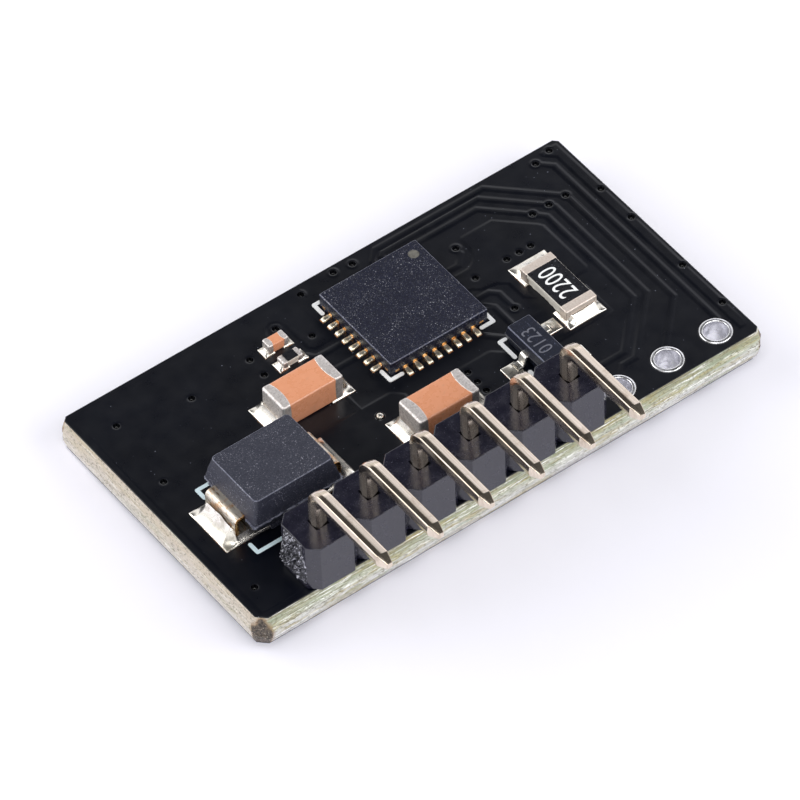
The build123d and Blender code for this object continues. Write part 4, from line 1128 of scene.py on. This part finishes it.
def make_chips():
    """The three capacitors and the two resistors. Each row: the part, its place, turn and size, the body's
    and the ends' edge radii, how far the metal reaches, the finishes, the body's slot and how proud it is."""
    ceramic, film, thin = (CERAMIC, TERMINAL), (ALUMINA, FILM_TERMINAL), (ALUMINA, TERMINAL)
    fired = "orange_ceramic"
    for name, place, turn, size, radii, band, finishes, slot, proud in (
        ("left_capacitor", LEFT_CAP, 0, LARGE_CHIP, (0.09, 0.11), (0.5, 0.37), ceramic, fired, 0.016),
        ("right_capacitor", RIGHT_CAP, 0, LARGE_CHIP, (0.09, 0.11), (0.5, 0.37), ceramic, fired, 0.016),
        ("small_capacitor", SMALL_CAP, 0, SMALL_CHIP, (0.045, 0.055), (0.27, 0.2), ceramic, fired, 0.01),
        ("small_resistor", SMALL_RESISTOR, 0, THIN_CHIP, (0.015, 0.08), (0.24, 0.22), thin, "alumina", 0.02),
        ("sense_resistor", SENSE_RESISTOR, 90, SENSE_CHIP, (0.02, 0.05), (0.43, 0.43), film, "alumina", 0.03),
    ):
        make_chip(name, place, turn, size, radii, band, finishes, (slot, "terminal_metal"), proud)


def make_pins():
    """Six square pins with slightly crowned faces, bent forwards over the board's edge."""
    section = []
    fall = lambda along: 0.5 * (math.hypot(along, 0.04) - 0.04)
    for u, v in rounded(PIN_HALF, PIN_HALF, 0.05, 6, 13):
        section.append((u * (1 - fall(v)), v * (1 - fall(u + 0.1))))
    path = [((0, -0.7), (0, 1), 0.47), ((0, -0.5), (0, 1), 1.0), ((0, -0.46), (0, 1), 1.0)]
    path += [((0, z), (0, 1), 1.0) for z in (1.6, 4.13, 4.2, 4.8, 5.25)]
    for i in range(1, 12):
        a = math.pi / 2 * i / 12
        place = (PIN_BEND * math.cos(a) - PIN_BEND, PIN_ARM_HEIGHT - PIN_BEND + PIN_BEND * math.sin(a))
        path.append((place, (-math.sin(a), math.cos(a)), 1.0))
    for y, scale in ((PIN_BEND, 1), (0.68, 1), (1.5, 1), (2.4, 1), (3.4, 1), (4.34, 1), (4.38, 1),
                     (4.84, 0.51), (4.88, 0.44)):
        path.append(((-y, PIN_ARM_HEIGHT), (-1, 0), scale))
    for index, x in enumerate(PIN_X):
        rings = []
        for k, ((y, z), (ty, tz), scale) in enumerate(path):
            bend = 4.9 < z < 5.92 and abs(ty) < 0.99
            ring = []
            for u, v in section:
                wide = 1 + (0.03 * max(0.0, -v / PIN_HALF) if bend else 0.0)
                scuff = 0.0015 * unevenness(u * 5, v * 5 + index * 3.7, k * 0.8)
                ring.append((u * scale * wide + scuff, y - (v * scale + scuff) * -tz, z + v * scale * -ty))
            rings.append(ring)
        build = Build()
        build.take(*stack(rings), (x, HOLE_ROW_Y, 0))
        build.done(f"plated_pin_{index + 1}", PIN, "pin_metal", [f"header_pin_{index + 1}"], sharp=17)


def make_controller():
    """The controller's moulding, with soft edges and a blasted dot at its first corner."""
    top = SEAT + CONTROLLER_HEIGHT
    rings = []
    for inwards, z in ((0.012, SEAT), (0.012, SEAT + 0.198), (0.0, SEAT + 0.205), (0.0, top - 0.045),
                       (0.006, top - 0.026), (0.02, top - 0.009), (0.04, top)):
        outline = rounded(CONTROLLER_HALF - inwards, CONTROLLER_HALF - inwards, 0.05, 3, 60)
        rings.append([(x + 0.006 * unevenness(x * 9, y * 9, z * 9) * (z > SEAT + 0.6),
                       y + 0.006 * unevenness(x * 9, y * 9, z * 9 + 5) * (z > SEAT + 0.6), z)
                      for x, y in outline])
    build = Build()
    build.take(*stack(rings, closed=False))
    rim = [(x, y) for x, y, _ in rings[-1]]
    dot = circle(DOT_PLACE, 0.245, 28)
    flat, faces = fill([rim, dot])
    build.take([(x, y, top) for x, y in flat], faces.tolist())
    build.take(*stack([[(x, y, z) for x, y in dot[::-1]] for z in (top - 0.02, top)], closed=False))
    under = rounded(2.488, 2.488, 0.05, 3)
    build.take([(x, y, SEAT) for x, y in under], [tuple(range(len(under)))[::-1]])
    whole = Build()
    whole.take(build.points, build.faces, (*CONTROLLER_PLACE, 0))
    made = whole.done("controller_moulding", CONTROLLER, "mould_compound", ["controller_package"], sharp=50)
    # The rounded top edge takes the lighter copy: a painted highlight.
    whole.paint_highlight(made, CONTROLLER_EDGE_HIGHLIGHT, lambda at, n: top - 0.046 < at.z < top - 0.002)
    spot = Build()
    rings = [[(x, y, top - 0.018 + 0.006 * unevenness(x * 9, y * 9, 1))
              for x, y in circle(DOT_PLACE, r, 28)] for r in (0.25, 0.2, 0.15, 0.1, 0.05, 0.01)]
    foot = [(x, y, top - 0.03) for x, y in circle(DOT_PLACE, 0.25, 28)]
    spot.take(*stack([foot] + rings), (*CONTROLLER_PLACE, 0))
    spot.done("controller_dot", BLASTED, "mould_compound", [], sharp=60)


def sweep(path, thickness, width, place, turn, build, ragged=0.0):
    """A flat strap along a side-view path of x, z points, with rounded long edges."""
    dense = []
    for i, (x, z) in enumerate(path):
        if 0 < i < len(path) - 1:
            (ax, az), (bx, bz) = path[i - 1], path[i + 1]
            d1, d2 = Vector((ax - x, az - z)), Vector((bx - x, bz - z))
            r = min(thickness, d1.length * 0.45, d2.length * 0.45)
            p1, p2 = Vector((x, z)) + d1.normalized() * r, Vector((x, z)) + d2.normalized() * r
            for k in range(6):
                t = k / 5
                p = p1 * (1 - t) ** 2 + Vector((x, z)) * 2 * t * (1 - t) + p2 * t ** 2
                dense.append((p.x, p.y))
        else:
            dense.append((x, z))
    section = rounded(width / 2, thickness / 2, min(0.035, thickness * 0.3), 3)
    rings = []
    for i, (x, z) in enumerate(dense):
        before, after = dense[max(i - 1, 0)], dense[min(i + 1, len(dense) - 1)]
        along = Vector((after[0] - before[0], after[1] - before[1])).normalized()
        across = Vector((-along.y, along.x))
        ring = []
        for u, v in section:
            rag = ragged * unevenness(u * 6, v * 9, i * 0.7)
            ring.append((x + across.x * (v + rag), u, z + across.y * (v + rag)))
        rings.append(ring)
    points, faces = stack(rings)
    build.take(points, faces, place, turn)


def make_leads():
    """The diode's two straps and the transistor's three legs."""
    waist, foot = 2.70, SEAT + 0.1
    path = [(1.8, waist), (2.57, waist), (2.57, foot), (1.37, foot)]
    for turn, side in ((180, "left"), (0, "right")):
        build = Build()
        sweep(path, 0.2, 2.1, (*DIODE_PLACE, 0), turn, build, 0.015)
        strap = build.done(f"diode_strap_{side}", STRAP, "lead_metal", [f"surge_diode_lead_{side}"], sharp=45)
        strap.data.materials.append(LEADFRAME)
        for face in strap.data.polygons:
            face.material_index = int(abs(face.normal.y) > 0.5)
    path = [(0.45, 2.15), (0.77, 2.15), (0.89, SEAT + 0.06), (1.19, SEAT + 0.06)]
    for turn, across, side in (
        (180, 0.0, "left"), (0, LEG_SPACING, "right_back"), (0, -LEG_SPACING, "right_front"),
    ):
        build = Build()
        sweep(path, 0.12, 0.42, (TRANSISTOR_PLACE[0], TRANSISTOR_PLACE[1] + across, 0), turn, build)
        build.done(f"transistor_leg_{side}", LEAD, "lead_metal", [f"transistor_lead_{side}"], sharp=45)


def make_digits():
    """Plain digits where the real parts carry their printed and engraved codes."""
    def write(text, size, place, height, squeeze, material, bold, name):
        curve = bpy.data.curves.new(name, "FONT")
        curve.body = text
        curve.size = size * MM
        curve.align_x, curve.align_y = "CENTER", "CENTER"
        curve.offset = bold * MM
        curve.extrude = 0.004 * MM
        curve.resolution_u = 5
        curve.space_character = 1.04
        source = bpy.data.objects.new(name, curve)
        bpy.context.scene.collection.objects.link(source)
        bpy.context.view_layer.update()
        mesh = bpy.data.meshes.new_from_object(source)
        bpy.data.objects.remove(source)
        mesh.transform(Matrix.Diagonal((squeeze, 1, 1, 1)))
        mesh.transform(Matrix.Rotation(math.radians(90), 4, "Z"))
        mesh.transform(Matrix.Translation(Vector((place[0], place[1], height)) * MM))
        mesh.materials.clear()
        mesh.materials.append(material)
        made = bpy.data.objects.new(name, mesh)
        bpy.context.scene.collection.objects.link(made)
        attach(made, "root")

    write("2200", 1.25, SENSE_RESISTOR, SEAT + 0.613, 0.72, WHITE_INK, 0.0, "resistor_digits")
    write("0123", 0.95, (4.66, -2.44), 2.602, 0.8, TRANSISTOR_MARK, -0.006, "transistor_digits")


wells = make_mask()
make_laminate(wells, [FILLED_VIA])
make_barrels()
make_pin_joints()
make_header()
make_controller_solder()
make_solder()
make_filled_via(FILLED_VIA)
make_diode()
make_transistor()
make_controller()
make_chips()
make_pins()
make_leads()
make_digits()


# ---------------------------------------------------------------- finishes on the solids that stay

def dress(node, material):
    """Gives a solid its material."""
    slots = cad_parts[node].data.materials
    if not slots:
        slots.append(material)
    for i in range(len(slots)):
        slots[i] = material


for node, material in {
    "solder_mask_underside": MASK, "copper_tracks": HIDDEN_COPPER, "via_barrels": HIDDEN_COPPER,
    "legend_ink": WHITE_INK, "controller_leadframe": LEADFRAME,
    "small_resistor_overcoat": OVERCOAT, "sense_resistor_overcoat": OVERCOAT,
}.items():
    dress(node, material)


# ---------------------------------------------------------------- floor, light and camera

# How far the pin tails reach below the board, and how far in front of its middle.
TAIL_LENGTH, TAIL_ROW = 0.7, 5.9
# The camera worked out from the photograph: its focal length in picture elements of a frame this wide, how
# far it stands from the point that it looks at, and its angles in degrees.
FOCAL, FRAME, SENSOR = 7527.8, 800, 36.0
DISTANCE, LOOKS_AT = 310.357, (-0.862, -0.284, 0.8)
AZIMUTH, ELEVATION, ROLL = -34.998, 48.434, -2.405


def make_floor():
    """A pale matt floor under the pin tails and the board's back edge."""
    back = BOARD[1] / 2
    tilt = math.atan2(TAIL_LENGTH, TAIL_ROW + back)
    mesh = bpy.data.meshes.new("floor")
    half = 2.0
    corners = [(-half, -half), (half, -half), (half, half), (-half, half)]
    height = lambda y: math.tan(tilt) * (y - back * MM) - 0.01 * MM
    mesh.from_pydata([(x, y, height(y)) for x, y in corners], [], [(0, 1, 2, 3)])
    floor = bpy.data.objects.new("floor", mesh)
    bpy.context.scene.collection.objects.link(floor)
    floor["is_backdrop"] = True
    material = bpy.data.materials.new("matt_white_sweep")
    material.use_nodes = True
    tree = material.node_tree
    shader = tree.nodes["Principled BSDF"]
    shader.inputs["Base Color"].default_value = srgb("#f1f0f9")
    shader.inputs["Roughness"].default_value = 0.9
    shader.inputs["Specular IOR Level"].default_value = 0.1
    level = add(tree, RANGE, add(tree, RAY, out="Is Glossy Ray"), 0, 1, 0.12, 0.28)
    glow = add(tree, ("ShaderNodeEmission", {}, 0, ("Color", "Strength")), "#f8f8ff", level)
    lit = add(tree, ("ShaderNodeAddShader", {}, 0, (0, 1)), shader.outputs[0], glow)
    tree.links.new(lit, tree.nodes["Material Output"].inputs["Surface"])
    mesh.materials.append(material)


def softbox(name, azimuth, elevation, distance, size, power, colour="#ffffff"):
    """A square lamp that faces the board. Azimuth is anticlockwise from +X."""
    lamp = bpy.data.lights.new(name, "AREA")
    lamp.shape = "RECTANGLE"
    lamp.size, lamp.size_y = size
    lamp.energy = power
    lamp.color = srgb(colour)[:3]
    made = bpy.data.objects.new(name, lamp)
    a, e = math.radians(azimuth), math.radians(elevation)
    direction = Vector((math.cos(a) * math.cos(e), math.sin(a) * math.cos(e), math.sin(e)))
    made.location = direction * distance
    made.rotation_euler = direction.to_track_quat("Z", "Y").to_euler()
    bpy.context.scene.collection.objects.link(made)


def make_light():
    """A white room that is bright low down and dim overhead, with soft lamps round it."""
    world = bpy.data.worlds.new("white_studio")
    bpy.context.scene.world = world
    world.use_nodes = True
    tree = world.node_tree
    back = tree.nodes["Background"]
    up = add(tree, SPLIT, add(tree, PLACE, out="Generated"), out="Z")
    dim = add(tree, RANGE, up, 0.48, 0.69, 1.0, 0.07)
    level = add(tree, LARGER, dim, add(tree, RAY))
    tree.links.new(level, back.inputs["Strength"])
    back.inputs["Color"].default_value = (1, 1, 1, 1)
    softbox("back_right_softbox", 36, 31, 0.30, (0.16, 0.10), 0.036, "#eef0ff")
    softbox("back_left_softbox", 138, 38, 0.30, (0.24, 0.20), 0.37)
    softbox("front_right_softbox", -58, 38, 0.30, (0.22, 0.18), 0.35)
    softbox("camera_side_softbox", -125, 62, 0.30, (0.16, 0.14), 0.27)


def make_camera():
    """A long lens from the front left, at the place worked out from the photograph's own lines."""
    azimuth, elevation, roll = map(math.radians, (AZIMUTH, ELEVATION, ROLL))
    back = Vector((math.sin(azimuth) * math.cos(elevation), -math.cos(azimuth) * math.cos(elevation),
                   math.sin(elevation)))
    right = Vector((math.cos(azimuth), math.sin(azimuth), 0))
    up = back.cross(right)
    turned = right * math.cos(roll) + up * math.sin(roll)
    upright = up * math.cos(roll) - right * math.sin(roll)
    camera = bpy.data.cameras.new("camera")
    camera.sensor_width = SENSOR
    camera.lens = FOCAL * SENSOR / FRAME
    camera.clip_start, camera.clip_end = 0.01, 20
    made = bpy.data.objects.new("camera", camera)
    place = Vector(LOOKS_AT) + back * DISTANCE
    made.matrix_world = Matrix.Translation(place * MM) @ Matrix((turned, upright, back)).transposed().to_4x4()
    bpy.context.scene.collection.objects.link(made)
    bpy.context.scene.camera = made


make_floor()
make_light()
make_camera()
bpy.context.scene.view_settings.view_transform = "Standard"

boxes = {"cad": cad_box, "visual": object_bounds()}
{key: [list(corner) for corner in box] for key, box in boxes.items()}
